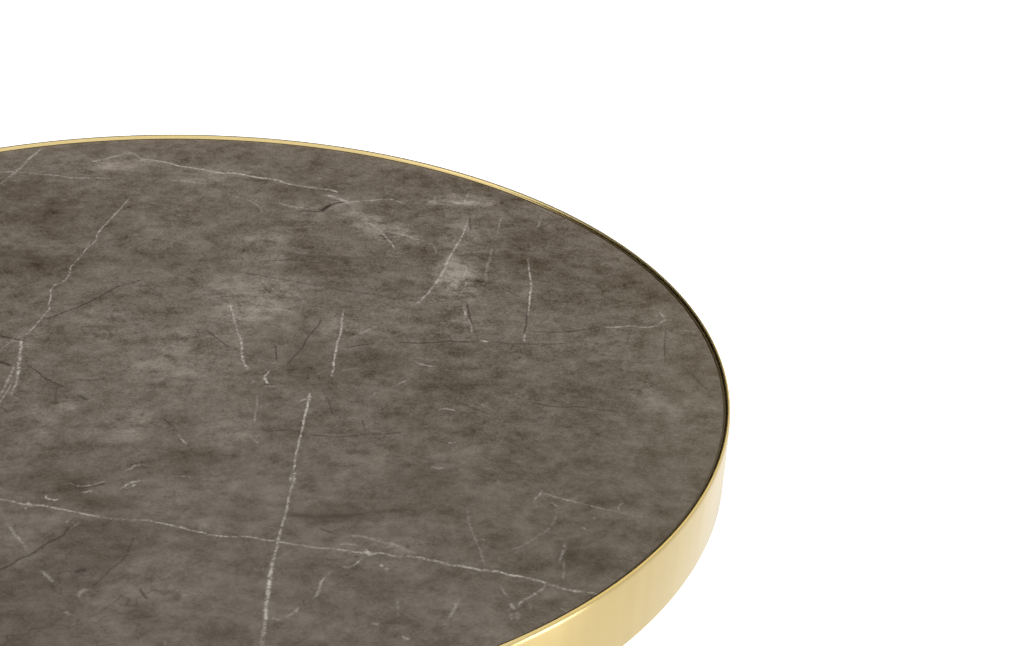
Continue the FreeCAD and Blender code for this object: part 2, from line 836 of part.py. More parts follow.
def check(pieces):
    """Stops the build if any object failed or any piece is empty or invalid."""
    doc.recompute()
    for item in doc.Objects:
        if {"Invalid", "Error"} & set(item.State):
            raise RuntimeError(f"{item.Label} failed: {item.State}")
    for body in pieces:
        if body.Shape.isNull() or not body.Shape.isValid() or not body.Shape.Solids:
            raise RuntimeError(f"{body.Label} has no valid solid")


def export(pieces):
    """Writes each piece to a file named for it."""
    os.makedirs("parts", exist_ok=True)
    for body in pieces:
        body.Shape.exportStep(os.path.join("parts", f"{body.Label}.step"))
        box = body.Shape.BoundBox
        print(f"{body.Label}: {len(body.Shape.Solids)} solids, z {box.ZMin:.2f} to {box.ZMax:.2f}")


all_pieces = make_pieces()
check(all_pieces)
export(all_pieces)
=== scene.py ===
"""Looks of the round side table: veined stone, gold band, column, weighted base and levelling feet.

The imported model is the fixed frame. Every piece keeps its place there, in metres, with +Z up along the column.
"""

from __future__ import annotations

import logging
import math
from dataclasses import dataclass
from enum import Enum
from typing import Any, Callable, Iterable, Union

import bpy
from mathutils import Matrix, Vector

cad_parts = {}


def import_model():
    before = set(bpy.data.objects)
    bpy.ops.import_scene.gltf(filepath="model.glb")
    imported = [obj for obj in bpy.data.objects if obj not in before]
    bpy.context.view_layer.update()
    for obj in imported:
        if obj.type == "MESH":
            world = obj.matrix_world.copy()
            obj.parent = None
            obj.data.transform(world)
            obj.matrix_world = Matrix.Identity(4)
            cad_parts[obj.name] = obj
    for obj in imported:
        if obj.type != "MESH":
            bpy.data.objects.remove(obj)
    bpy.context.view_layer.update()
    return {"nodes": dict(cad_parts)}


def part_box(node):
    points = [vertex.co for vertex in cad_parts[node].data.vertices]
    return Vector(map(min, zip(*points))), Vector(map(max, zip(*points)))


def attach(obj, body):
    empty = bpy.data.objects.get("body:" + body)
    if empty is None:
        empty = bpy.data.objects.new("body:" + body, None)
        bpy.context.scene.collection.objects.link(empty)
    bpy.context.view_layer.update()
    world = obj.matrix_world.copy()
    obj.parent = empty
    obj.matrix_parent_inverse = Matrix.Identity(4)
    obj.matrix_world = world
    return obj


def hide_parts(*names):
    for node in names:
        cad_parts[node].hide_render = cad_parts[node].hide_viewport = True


LOG = logging.getLogger("side_table")

PHOTO_WIDTH = 1024
PHOTO_HEIGHT = 646
MM = 0.001
MIDDLE = 0.5  # a noise's average
MERGE = 1e-6
TOP_CENTRE = (0.0, 0.0, 0.55)
LAMP_AIM = (0.0, 0.0, 0.5)

Colour = tuple[float, float, float, float]
Ease = tuple[float, float, float, float]  # where a ramp begins and ends, and its two levels
Drift = tuple[float, float]  # waves to a metre, and reach in metres
Feed = Union[float, int, tuple, "Value"]


def tint(red: int, green: int, blue: int) -> Colour:
    """Turns a display colour into the linear colour that the shaders take.

    Args:
        red: the red level, 0 to 255.
        green: the green level, 0 to 255.
        blue: the blue level, 0 to 255.

    Returns:
        The linear colour, opaque.
    """
    def linear(level: int) -> float:
        """Undoes the display curve for one level."""
        share = level / 255
        return share / 12.92 if share <= 0.04045 else ((share + 0.055) / 1.055) ** 2.4

    return (linear(red), linear(green), linear(blue), 1.0)


class Value:
    """A node's output that takes part in Python arithmetic."""

    def __init__(self, recipe: Recipe, socket: bpy.types.NodeSocket) -> None:
        """Keeps the socket and the recipe that owns it."""
        self.recipe = recipe
        self.socket = socket

    def _math(self, operation: str, first: Feed, second: Feed = 0.0) -> Value:
        """Adds one Math node on two feeds."""
        return self.recipe.node("ShaderNodeMath", {"operation": operation}, {0: first, 1: second})

    def __add__(self, other: Feed) -> Value:
        """Adds a feed."""
        return self._math("ADD", self, other)

    __radd__ = __add__

    def __sub__(self, other: Feed) -> Value:
        """Takes a feed away."""
        return self._math("SUBTRACT", self, other)

    def __rsub__(self, other: Feed) -> Value:
        """Is taken away from a number."""
        return self._math("SUBTRACT", other, self)

    def __mul__(self, other: Feed) -> Value:
        """Multiplies by a feed."""
        return self._math("MULTIPLY", self, other)

    __rmul__ = __mul__

    def __truediv__(self, other: Feed) -> Value:
        """Divides by a feed."""
        return self._math("DIVIDE", self, other)

    def __rtruediv__(self, other: Feed) -> Value:
        """Divides a number."""
        return self._math("DIVIDE", other, self)

    def __abs__(self) -> Value:
        """Drops the sign."""
        return self._math("ABSOLUTE", self)

    def most(self, other: Feed) -> Value:
        """Takes the greater of two feeds."""
        return self._math("MAXIMUM", self, other)

    def times_plus(self, factor: Feed, extra: Feed) -> Value:
        """Multiplies by one feed and adds another, in one node."""
        return self.recipe.node("ShaderNodeMath", {"operation": "MULTIPLY_ADD"}, {0: self, 1: factor, 2: extra})

    def ramp(self, low: float, high: float, to_low: float = 0.0, to_high: float = 1.0) -> Value:
        """Eases from one level to another, and holds level outside.

        Args:
            low: where the rise begins.
            high: where it ends; below low for a fall.
            to_low: the level before the rise.
            to_high: the level after it.

        Returns:
            The eased value.
        """
        return self.recipe.node(
            "ShaderNodeMapRange", {"interpolation_type": "SMOOTHSTEP", "clamp": False},
            {"Value": self, "From Min": low, "From Max": high, "To Min": to_low, "To Max": to_high})


class Recipe:
    """A node tree written as Python expressions."""

    def __init__(self, tree: bpy.types.NodeTree) -> None:
        """Keeps the tree that the nodes go into."""
        self.tree = tree

    def node(self, kind: str, settings: dict[str, Any] | None = None,
             sockets: dict[int | str, Feed] | None = None, out: int | str = 0) -> Value:
        """Adds one node.

        Args:
            kind: the node's type.
            settings: the node's own settings, which are set first.
            sockets: a number, colour, vector or value for each input.
            out: the output to hand back.

        Returns:
            That output, ready for arithmetic.
        """
        made = self.tree.nodes.new(kind)
        for key, setting in (settings or {}).items():
            if key == "curve":
                self._bend(made.mapping, setting)
            else:
                setattr(made, key, setting)
        for key, feed in (sockets or {}).items():
            if isinstance(feed, Value):
                self.tree.links.new(feed.socket, made.inputs[key])
            else:
                made.inputs[key].default_value = feed
        return Value(self, made.outputs[out])

    @staticmethod
    def _bend(mapping: bpy.types.CurveMapping, spots: Iterable[tuple[float, float]]) -> None:
        """Lays a curve node's line through the given spots.

        Args:
            mapping: the curve node's mapping.
            spots: the spots from left to right, both numbers from 0 to 1.
        """
        spots = list(spots)
        mapping.extend = "HORIZONTAL"
        line = mapping.curves[0].points
        line[0].location, line[1].location = spots[0], spots[-1]
        for x, y in spots[1:-1]:
            line.new(x, y)
        for point in line:
            point.handle_type = "AUTO_CLAMPED"
        mapping.update()

    def place(self) -> Value:
        """Gives the place on the piece, in metres."""
        return self.node("ShaderNodeTexCoord", out="Object")

    def local(self, place: Value, turn: float, span: tuple[float, float, float]) -> Value:
        """Measures places along turned axes, in spans.

        Args:
            place: the place on the piece.
            turn: the new axes' angle on the plan, in radians.
            span: the length that counts as 1 along each new axis.

        Returns:
            The place in the new axes.
        """
        return self.node("ShaderNodeMapping", {"vector_type": "TEXTURE"},
                         {"Vector": place, "Rotation": (0.0, 0.0, turn), "Scale": span})

    def part(self, vector: Value, axis: str) -> Value:
        """Takes one part of a vector, X, Y or Z."""
        return self.node("ShaderNodeSeparateXYZ", sockets={0: vector}, out=axis)

    def noise(self, vector: Value, scale: float, detail: float, rough: float = 0.5, out: str = "Factor") -> Value:
        """Adds a noise of the given grain.

        Args:
            vector: the place that the noise is read at.
            scale: how many grains there are to a metre.
            detail: how many finer layers it has.
            rough: how strong the finer layers are.
            out: Factor for a number, Color for three of them.

        Returns:
            The noise, about 0.5 on average.
        """
        slot = {"Factor": 0, "Color": 1}[out]
        return self.node("ShaderNodeTexNoise", {"noise_dimensions": "3D"},
                         {"Vector": vector, "Scale": scale, "Detail": detail, "Roughness": rough}, out=slot)

    def stray(self, vector: Value, scale: float, reach: float) -> Value:
        """Moves places about by a soft noise.

        Args:
            vector: the places.
            scale: how many waves there are to a metre.
            reach: the full width of the movement, in metres.

        Returns:
            The places, moved.
        """
        drift = self.node("ShaderNodeVectorMath", {"operation": "SUBTRACT"},
                          {0: self.noise(vector, scale, 2.0, out="Color"), 1: (MIDDLE, MIDDLE, MIDDLE)})
        return self.node("ShaderNodeVectorMath", {"operation": "MULTIPLY_ADD"},
                         {0: drift, 1: (reach, reach, 0.0), 2: vector})

    def blend(self, share: Feed, first: Feed, second: Feed) -> Value:
        """Mixes two colours.

        Args:
            share: how much of the second colour shows.
            first: the first colour.
            second: the second colour.

        Returns:
            The mixed colour.
        """
        return self.node("ShaderNodeMix", {"data_type": "RGBA", "blend_type": "MIX", "clamp_factor": True},
                         {0: share, 6: first, 7: second}, out=2)

    def shaded(self, colour: Feed, level: Value) -> Value:
        """Makes a colour lighter or darker by a level."""
        return self.node("ShaderNodeVectorMath", {"operation": "SCALE"}, {0: colour, "Scale": level})

    def bumped(self, height: Value, strength: float, depth: float) -> Value:
        """Turns a height into a normal.

        Args:
            height: the height, from 0 to 1.
            strength: how much of the bump shows.
            depth: how deep it is, in metres.

        Returns:
            The normal for a shader.
        """
        return self.node("ShaderNodeBump", sockets={"Strength": strength, "Distance": depth, "Height": height})


class Chart(Recipe):
    """Marks drawn from a place on the plan, kept together in a node group."""

    def __init__(self, name: str) -> None:
        """Starts a group that takes the place on the plan.

        Args:
            name: the group's name.
        """
        tree = bpy.data.node_groups.new(name, "ShaderNodeTree")
        for feed in ("X", "Y", "Fray"):
            tree.interface.new_socket(feed, in_out="INPUT", socket_type="NodeSocketFloat")
        tree.interface.new_socket("Mark", in_out="OUTPUT", socket_type="NodeSocketFloat")
        super().__init__(tree)
        self.x = self.node("NodeGroupInput", out="X")
        self.y = self.node("NodeGroupInput", out="Y")
        self.fray = self.node("NodeGroupInput", out="Fray")

    def along(self, start: Vector, way: Vector) -> Value:
        """Measures along a direction.

        Args:
            start: where the measure is 0.
            way: the direction, as long as one part of the measure.

        Returns:
            The measure at each place.
        """
        step = way / way.length_squared
        return self.x.times_plus(step.x, self.y.times_plus(step.y, -start.dot(step)))

    def used(self, result: Value, recipe: Recipe, x: Value, y: Value, fray: Feed) -> Value:
        """Closes the group and puts it into a recipe.

        Args:
            result: the group's mark.
            recipe: the recipe that uses it.
            x: the place along the plan's first axis.
            y: the place along its second axis.
            fray: how far the edges of lines stray, in metres.

        Returns:
            The mark, in that recipe.
        """
        end = self.tree.nodes.new("NodeGroupOutput")
        self.tree.links.new(result.socket, end.inputs["Mark"])
        return recipe.node("ShaderNodeGroup", {"node_tree": self.tree}, {"X": x, "Y": y, "Fray": fray})


class Coat(Recipe):
    """A finish in the making: a material, its tree and its main shader."""

    def __init__(self, name: str, fixed: dict[str, Feed] | None = None) -> None:
        """Starts a material.

        Args:
            name: the finish's name.
            fixed: the shader's sockets that are the same all over.
        """
        self.material = bpy.data.materials.new(name)
        self.material.use_nodes = True
        super().__init__(self.material.node_tree)
        self.shader = self.tree.nodes["Principled BSDF"]
        for key, feed in (fixed or {}).items():
            self.shader.inputs[key].default_value = feed

    def finish(self, **feeds: Value) -> bpy.types.Material:
        """Links what changes over the surface to the shader.

        Args:
            **feeds: a value for each socket, named in lower case with underscores.

        Returns:
            The finished material.
        """
        for key, feed in feeds.items():
            self.tree.links.new(feed.socket, self.shader.inputs[key.replace("_", " ").title()])
        return self.material


@dataclass(frozen=True)
class Viewpoint:
    """Where the picture was taken from, read off the rim's outline."""

    stand: tuple[float, float, float] = (0.0, -0.7371, 0.9606)
    turn_deg: float = 10.712
    dip_deg: float = 28.05
    roll_deg: float = 3.396
    lens_mm: float = 73.65
    sensor_mm: float = 36.0
    clip: tuple[float, float] = (0.01, 60.0)

    def axes(self) -> tuple[Vector, Vector, Vector]:
        """Turns the camera's three angles into directions.

        Returns:
            Its right, up and forward directions.
        """
        turn, dip, roll = (math.radians(a) for a in (self.turn_deg, self.dip_deg, self.roll_deg))
        forward = Vector((math.sin(turn) * math.cos(dip), math.cos(turn) * math.cos(dip), -math.sin(dip)))
        level = Vector((math.cos(turn), -math.sin(turn), 0.0))
        rise = level.cross(forward)
        right = math.cos(roll) * level + math.sin(roll) * rise
        up = -math.sin(roll) * level + math.cos(roll) * rise
        return right, up, forward

    def onto(self, x: float, y: float, height: float) -> Vector:
        """Finds the spot on a level plane that a picture point shows.

        Args:
            x: the picture point, from the left edge.
            y: the picture point, from the top edge.
            height: the plane's height.

        Returns:
            The spot on the plan.
        """
        right, up, forward = self.axes()
        focal = PHOTO_WIDTH * self.lens_mm / self.sensor_mm
        ray = forward + right * ((x - PHOTO_WIDTH / 2) / focal) - up * ((y - PHOTO_HEIGHT / 2) / focal)
        stand = Vector(self.stand)
        return (stand + ray * ((height - stand.z) / ray.z)).to_2d()

    def add_camera(self) -> None:
        """Adds the camera and makes it the scene's own."""
        right, up, forward = self.axes()
        data = bpy.data.cameras.new("viewpoint")
        data.lens = self.lens_mm
        data.sensor_width = self.sensor_mm
        data.sensor_fit = "HORIZONTAL"
        data.clip_start, data.clip_end = self.clip
        camera = bpy.data.objects.new("viewpoint", data)
        turned = Matrix((right, up, -forward)).transposed().to_4x4()
        camera.matrix_world = Matrix.Translation(self.stand) @ turned
        bpy.context.scene.collection.objects.link(camera)
        bpy.context.scene.camera = camera


@dataclass(frozen=True)
class Vein:
    """A thin line in the stone, through points of the picture."""

    width_mm: float
    strength: float
    points: tuple[tuple[float, ...], ...]

    END_FADE = 4 * MM
    END_MOST = 0.3
    END_ROOM = 1.2
    FADE_SHARE = 0.66
    LEAST_SPREAD = 2 * MM

    def mark(self, chart: Chart, view: Viewpoint, height: float) -> Value:
        """Draws the line.

        Args:
            chart: the chart that it goes on.
            view: the viewpoint of the picture.
            height: the stone's upper face.

        Returns:
            How strongly the line shows at each place.
        """
        spots = [view.onto(point[0], point[1], height) for point in self.points]
        whole = spots[-1] - spots[0]
        length = whole.length
        across = Vector((-whole.y, whole.x)) / length
        runs = [(spot - spots[0]).dot(whole) / length ** 2 for spot in spots]
        drifts = [(spot - spots[0]).dot(across) for spot in spots]
        low = min(drifts)
        spread = max(max(drifts) - low, self.LEAST_SPREAD)
        run = chart.along(spots[0], whole)
        drift = chart.along(spots[0] + across * low, across * spread)
        path = chart.node("ShaderNodeFloatCurve", {"curve": [
            (share, (drifted - low) / spread) for share, drifted in zip(runs, drifts)]}, {"Value": run})
        levels = [point[2] if len(point) > 2 else 1.0 for point in self.points]
        end = min(self.END_FADE / length, self.END_MOST)
        room = self.END_ROOM * end
        inner = [(share, level) for share, level in zip(runs, levels) if room < share < 1 - room]
        ends = [(0.0, 0.0), (end, levels[0])], [(1 - end, levels[-1]), (1.0, 0.0)]
        shown = chart.node("ShaderNodeFloatCurve", {"curve": ends[0] + inner + ends[1]}, {"Value": run})
        reach = self.FADE_SHARE * self.width_mm * MM / spread
        off = chart.fray.times_plus(1 / spread, abs(drift - path))
        return off.ramp(reach, 0.0, 0.0, self.strength) * shown


@dataclass(frozen=True)
class Patch:
    """A soft cloud in the stone, centred on a point of the picture."""

    x: float
    y: float
    wide: float
    tall: float
    lift: float
    lean: float = 0.0

    EDGE = 2.2

    def mark(self, chart: Chart, view: Viewpoint, height: float) -> Value:
        """Draws the cloud.

        Args:
            chart: the chart that it goes on.
            view: the viewpoint of the picture.
            height: the stone's upper face.

        Returns:
            How much lighter or darker the cloud makes each place.
        """
        middle = view.onto(self.x, self.y, height)
        lean = math.radians(self.lean)
        side = view.onto(self.x + self.wide * math.cos(lean), self.y + self.wide * math.sin(lean), height) - middle
        deep = view.onto(self.x - self.tall * math.sin(lean), self.y + self.tall * math.cos(lean), height) - middle
        across = Vector((-side.y, side.x)).normalized() * deep.length
        u, v = chart.along(middle, side), chart.along(middle, across)
        return u.times_plus(u, v * v).ramp(self.EDGE, 0.0, 0.0, self.lift)


PALE_VEINS: dict[str, Vein] = {name: Vein(*drawn) for name, *drawn in (
    ("left_diagonal", 1.0, 0.50, (
        (131, 197, 0.5), (120, 209), (110, 220), (103, 227), (98, 233), (95, 241), (88, 247), (80, 257), (73, 264),
        (70, 271), (67, 278), (60, 283), (53, 287), (51, 295), (49, 305), (47, 312), (40, 320), (33, 328),
        (26, 334), (16, 338, 0.6))),
    ("left_upright", 1.6, 0.75, (
        (21, 340), (20.5, 350), (19.5, 358), (18.5, 365), (18, 372), (17, 379, 0.6), (14, 388, 0.5),
        (11, 398, 0.4))),
    ("left_strand", 1.1, 0.40, ((15, 364), (11, 374), (7, 382), (2, 392), (-4, 402), (-12, 416))),
    ("left_strand_low", 0.9, 0.40, ((12, 383), (8, 390), (3, 397), (-3, 408))),
    ("left_tail", 0.9, 0.25, ((16, 338), (10, 342), (4, 347), (-6, 354))),
    ("far_left_slant", 1.5, 0.40, ((41, 149), (30, 158), (18, 170), (8, 178, 0.6), (-8, 190, 0.3))),
    ("far_left_level", 1.6, 0.34, (
        (-60, 172, 0.5), (0, 172), (20, 172), (40, 174), (61, 176), (80, 178), (100, 178), (118, 179, 0.5))),
    ("far_ridge", 1.8, 0.40, ((75, 165, 0.3), (100, 160), (120, 155), (130, 153), (140, 158), (152, 161, 0.6))),
    ("far_main", 1.8, 0.75, (
        (140, 159, 0.5), (165, 162, 0.6), (180, 166), (200, 169, 0.8), (215, 172), (225, 173), (240, 174),
        (255, 177), (270, 179), (280, 181), (295, 185, 0.7), (316, 188, 0.6), (330, 190), (338, 193))),
    ("far_second", 1.5, 0.30, ((170, 180), (185, 181), (200, 183), (215, 184, 0.4))),
    ("far_faint", 1.0, 0.25, ((209, 187), (225, 193), (240, 198), (250, 201), (263, 214))),
    ("far_run_on", 1.4, 0.50, ((340, 204), (350, 202), (360, 201), (375, 200), (385, 199), (396, 201), (405, 203))),
    ("far_shelf", 2.4, 0.30, ((278, 202), (290, 206), (305, 208), (320, 207))),
    ("far_lip", 3.0, 0.45, ((322, 195), (334, 197), (345, 201), (352, 206, 0.5))),
    ("fork_left", 1.4, 0.42, ((356, 220, 0.6), (368, 223), (377, 228), (385, 236), (391, 243), (395, 250))),
    ("fork_right", 1.4, 0.38, ((385, 231), (400, 234), (410, 237), (420, 240, 0.6), (430, 242, 0.5))),
    ("fork_tail", 1.2, 0.25, ((430, 242), (434, 247), (437, 254))),
    ("slant", 1.3, 0.60, (
        (468, 219, 0.4), (464, 231), (460, 240), (456, 246), (452, 253), (447, 262), (443, 272), (438, 280),
        (433, 287), (427, 294), (421, 300), (414, 306, 0.6))),
    ("crown", 3.0, 0.30, ((440, 200, 0.4), (450, 202), (458, 203), (466, 203), (474, 201), (482, 199, 0.3))),
    ("crown_stalk", 1.2, 0.35, ((468, 193), (466, 199), (464, 206))),
    ("pale_drip", 1.6, 0.55, ((464, 306), (465, 312), (466, 319))),
    ("pale_drip_low", 0.9, 0.35, ((469, 318), (471, 327), (472, 334))),
    ("cloud_thread", 1.0, 0.35, ((468, 268), (464, 276), (466, 284), (462, 292))),
    ("cloud_thread_left", 1.1, 0.35, ((458, 284), (450, 287), (446, 292))),
    ("right_upright", 1.0, 0.75, (
        (528, 258, 0.6), (529, 268, 0.7), (530, 278), (531, 286), (530, 295), (529, 308, 0.8), (527, 318, 0.5))),
    ("right_upright_foot", 1.1, 0.60, ((525, 334), (524, 342))),
    ("right_wisp", 1.2, 0.25, ((504, 214, 0.5), (500, 222), (498, 230), (497, 240, 0.4))),
    ("right_wisp_near", 1.0, 0.25, ((541, 214), (540, 222), (537, 228))),
    ("right_pale_column", 1.6, 0.22, ((492, 248), (490, 258), (487, 268), (486, 282))),
    ("right_row", 1.2, 0.45, (
        (603, 327), (617, 327), (630, 326, 0.7), (640, 327), (650, 327), (660, 323), (668, 320), (674, 321))),
    ("right_twig", 1.0, 0.40, ((659, 311), (662, 315), (665, 320))),
    ("right_spot_row", 1.2, 0.30, ((668, 332, 0.3), (676, 330), (690, 331, 0.2), (699, 334))),
    ("dash_middle", 1.3, 0.80, ((479, 340), (484, 341), (489, 342))),
    ("squiggle_top", 1.2, 0.60, (
        (230, 300, 0.7), (231, 308), (233, 314, 0.8), (235, 322), (237, 330, 0.7), (240, 338))),
    ("squiggle_low", 1.2, 0.66, (
        (240, 337), (242, 345), (241.5, 351), (242.5, 357), (244, 362), (246, 366), (248, 371))),
    ("hook_top", 1.3, 0.70, ((270, 370), (267, 374), (264, 377))),
    ("hook_low", 1.3, 0.75, ((264, 377), (266, 380), (268, 384))),
    ("hook_foot", 1.1, 0.55, ((263, 388), (268, 386), (274, 386), (280, 388, 0.6))),
    ("hook_side", 1.0, 0.35, ((251, 384), (255, 380))),
    ("short_bar", 1.0, 0.30, ((264, 362), (271, 363), (276, 363), (278, 369, 0.6))),
    ("faint_upright", 1.2, 0.28, ((257, 394), (257, 402), (256, 410), (255, 417), (255, 424))),
    ("faint_foot", 1.0, 0.28, ((249, 434), (255, 441), (261, 444))),
    ("centre_top", 1.1, 0.75, (
        (344, 308, 0.6), (342, 320, 0.8), (341, 330, 0.8), (339, 338), (337, 345), (336, 350), (335, 355, 0.8),
        (334, 361), (333, 368), (331, 377))),
    ("centre_middle", 1.1, 0.80, (
        (310, 392), (309, 398), (308, 404), (306, 413), (304, 420, 0.8), (303, 425), (301, 435), (299, 441, 0.7),
        (298, 447, 0.8), (296, 453, 0.7), (295, 461, 0.6), (293, 472, 0.8))),
    ("centre_knot_top", 2.2, 0.55, ((310, 395), (309, 398), (307, 401))),
    ("centre_knot_side", 1.3, 0.45, ((299, 402), (303, 400), (308, 399))),
    ("centre_knot", 2.4, 0.80, ((294, 472), (293, 478), (293, 484))),
    ("centre_low", 1.1, 0.64, (
        (293, 482), (291, 490, 0.7), (289, 497, 0.7), (287, 507), (285, 515), (282, 526, 0.8), (279, 537, 0.7),
        (276, 550), (274, 557))),
    ("centre_foot", 1.8, 0.82, (
        (275, 553, 0.6), (273, 560, 0.7), (271, 570, 0.8), (270, 577), (269, 585), (268, 592, 0.8), (267, 600),
        (266, 607, 0.8), (266, 616), (265, 622, 0.5), (264, 630, 0.6), (262, 642, 0.35), (257, 668, 0.5),
        (250, 700, 0.4))),
    ("bar_right", 1.2, 0.35, ((415, 362), (420, 364), (430, 366), (439, 367))),
    ("feather", 1.1, 0.35, ((391, 388), (397, 385), (403, 382), (408, 379), (413, 375, 0.5))),
    ("feather_small", 1.0, 0.25, ((369, 398), (373, 395), (377, 392))),
    ("shelf_left", 1.3, 0.22, ((340, 371), (350, 369), (359, 368))),
    ("shelf_top", 1.8, 0.25, ((351, 337), (358, 335), (366, 331), (379, 325))),
    ("grain_bar_a", 1.2, 0.40, ((438, 410), (446, 409), (456, 411))),
    ("grain_bar_b", 1.4, 0.42, ((446, 441), (451, 443), (457, 441))),
    ("grain_bar_c", 1.2, 0.30, ((430, 466), (438, 468), (446, 468))),
    ("grain_bar_d", 1.4, 0.22, ((478, 403), (485, 406), (494, 410))),
    ("left_fleck_slant", 1.3, 0.42, ((177, 432), (181, 438), (187, 445))),
    ("left_fleck_row", 1.2, 0.30, ((170, 477, 0.5), (185, 476), (195, 477), (209, 475, 0.6))),
    ("left_fleck_top", 1.6, 0.45, ((122, 472, 0.7), (130, 469), (137, 465), (147, 466))),
    ("left_fleck_main", 1.5, 0.62, (
        (112, 495, 0.4), (119, 490, 0.7), (124, 487), (130, 483), (138, 481), (152, 479, 0.5))),
    ("left_fleck_under", 1.4, 0.55, ((126, 489), (130, 487), (136, 484))),
    ("left_double", 1.1, 0.30, ((58, 483, 0.5), (72, 484), (84, 486), (98, 483), (108, 481))),
    ("left_loop", 1.6, 0.65, ((45, 495), (49, 499), (54, 500), (60, 499))),
    ("left_loop_speck", 1.2, 0.40, ((80, 493), (86, 492), (93, 490))),
    ("front_first", 1.3, 0.50, (
        (-40, 490, 0.5), (0, 499), (15, 502), (28, 505), (36, 505), (45, 506), (60, 509), (75, 512), (85, 514),
        (100, 517, 0.7), (120, 519, 0.6), (135, 520, 0.7), (150, 521, 0.8), (160, 523), (170, 525), (180, 527),
        (190, 530), (200, 532), (210, 535))),
    ("front_second", 1.3, 0.48, (
        (205, 534), (220, 536), (235, 537), (250, 537, 0.8), (265, 540), (275, 541), (290, 544, 0.8),
        (305, 546, 0.8), (320, 548, 0.8), (335, 549, 0.8), (350, 551), (363, 553), (372, 554), (382, 553),
        (395, 556), (404, 557))),
    ("front_third", 1.6, 0.62, (
        (406, 556), (415, 557), (425, 559), (440, 562, 0.7), (450, 565, 0.7), (460, 566, 0.7), (475, 569),
        (492, 571), (500, 572), (510, 575), (522, 577), (535, 580), (545, 583), (555, 586, 0.7), (565, 589, 0.7),
        (575, 591, 0.7), (585, 592, 0.6), (602, 594, 0.6))),
    ("front_burst_left", 2.2, 0.60, ((19, 508, 0.5), (24, 505), (29, 504), (38, 507, 0.4))),
    ("front_burst_leg", 1.2, 0.45, ((29, 501), (27, 505), (25, 510))),
    ("front_burst_middle", 2.4, 0.72, ((361, 549, 0.7), (366, 552), (371, 554), (377, 552, 0.6))),
    ("front_burst_spark", 1.5, 0.60, ((363, 547), (366, 550), (370, 556))),
    ("front_upper", 1.3, 0.28, ((338, 545), (349, 544), (361, 547))),
    ("front_band", 2.2, 0.22, ((345, 537), (365, 537), (380, 541), (395, 545), (408, 551), (418, 554))),
    ("front_branch", 1.3, 0.55, (
        (370, 556, 0.4), (363, 558, 0.6), (357, 563), (348, 567), (341, 566, 0.7), (333, 560, 0.5))),
    ("front_branch_low", 1.3, 0.40, ((336, 568, 0.4), (328, 574), (322, 581), (320, 587), (317, 594), (313, 600))),
    ("front_twin_a", 1.6, 0.55, ((380, 564), (383, 567))),
    ("front_twin_b", 1.6, 0.60, ((385, 568), (389, 570))),
    ("front_curl", 1.4, 0.38, ((299, 606), (293, 613), (287, 617), (281, 620, 0.6))),
    ("front_curl_faint", 1.3, 0.18, ((269, 617), (276, 619), (284, 620))),
    ("front_speck", 1.6, 0.45, ((371, 623), (376, 624), (380, 625))),
    ("front_edge_speck", 1.5, 0.40, ((401, 636), (405, 638), (412, 639))),
    ("front_slash", 1.4, 0.28, ((460, 597), (456, 605), (452, 613), (448, 620), (444, 626))),
    ("front_slash_faint", 1.1, 0.18, ((468, 508), (469, 520), (472, 531), (476, 541), (480, 550), (485, 566))),
    ("front_faint_upright", 1.2, 0.16, ((397, 598), (398, 607), (398, 617))),
    ("branch_right", 1.2, 0.38, ((546, 583), (542, 589), (535, 594), (528, 598), (522, 601), (518, 607))),
    ("branch_left", 1.2, 0.28, ((500, 586), (504, 592), (509, 598))),
    ("branch_knot", 1.6, 0.40, ((509, 603), (512, 606), (515, 610))),
    ("branch_twin_a", 1.9, 0.28, ((511, 613), (512, 620))),
    ("branch_twin_b", 1.9, 0.24, ((518, 612), (517, 620))),
    ("branch_speck", 1.5, 0.20, ((530, 603), (530, 610))),
    ("branch_edge", 1.6, 0.20, ((560, 608), (570, 613))),
    ("arrow", 1.1, 0.44, (
        (536, 492, 0.5), (545, 494), (552, 496), (560, 498), (568, 500), (580, 503, 0.7), (592, 506, 0.6),
        (604, 509, 0.5), (618, 512, 0.4))),
    ("arrow_tail", 0.9, 0.18, ((618, 512), (632, 515), (652, 518))),
    ("arrow_head", 1.0, 0.34, ((543, 490), (540, 494), (536, 498), (533, 502))),
    ("arrow_curl", 1.1, 0.48, ((618, 510), (618.5, 507), (620, 505), (624, 503))),
    ("arrow_speck", 1.2, 0.30, ((551, 502), (554, 504), (558, 507))),
    ("drift_a", 1.4, 0.14, ((556, 508), (556, 516), (553, 523), (546, 531), (538, 536), (528, 543), (511, 550))),
    ("drift_b", 1.4, 0.42, ((564, 543), (565, 548), (563, 552), (561, 557), (559, 566, 0.5))),
    ("drift_c", 1.2, 0.14, ((563, 558), (564, 570), (563, 582))),
    ("drift_d", 1.3, 0.36, ((583, 527), (585, 530))),
    ("drift_e", 1.3, 0.36, ((593, 518), (596, 519))),
    ("drift_f", 1.3, 0.30, ((482, 539), (486, 541))),
    ("low_left_run", 1.5, 0.40, (
        (5, 521, 0.6), (10, 527), (14, 533), (20, 540, 0.8), (26, 548, 0.7), (30, 554, 0.7))),
    ("low_left_run_on", 1.6, 0.32, ((40, 569), (45, 574), (50, 579), (55, 583), (61, 588, 0.6))),
    ("low_left_slip", 1.2, 0.28, ((80, 521), (75, 526), (70, 530), (64, 535, 0.6))),
    ("low_left_tick", 1.5, 0.32, ((66, 523), (69, 519))),
    ("low_left_smear", 2.2, 0.26, ((77, 598), (81, 592), (88, 588))),
    ("low_left_speck", 2.0, 0.30, ((64, 611), (67, 613), (70, 616))),
    ("low_oval", 2.2, 0.24, ((182, 597), (186, 594))),
    ("edge_tick", 1.4, 0.22, ((165, 638), (165, 646), (166, 660))),
    ("out_front_a", 1.3, 0.50, (
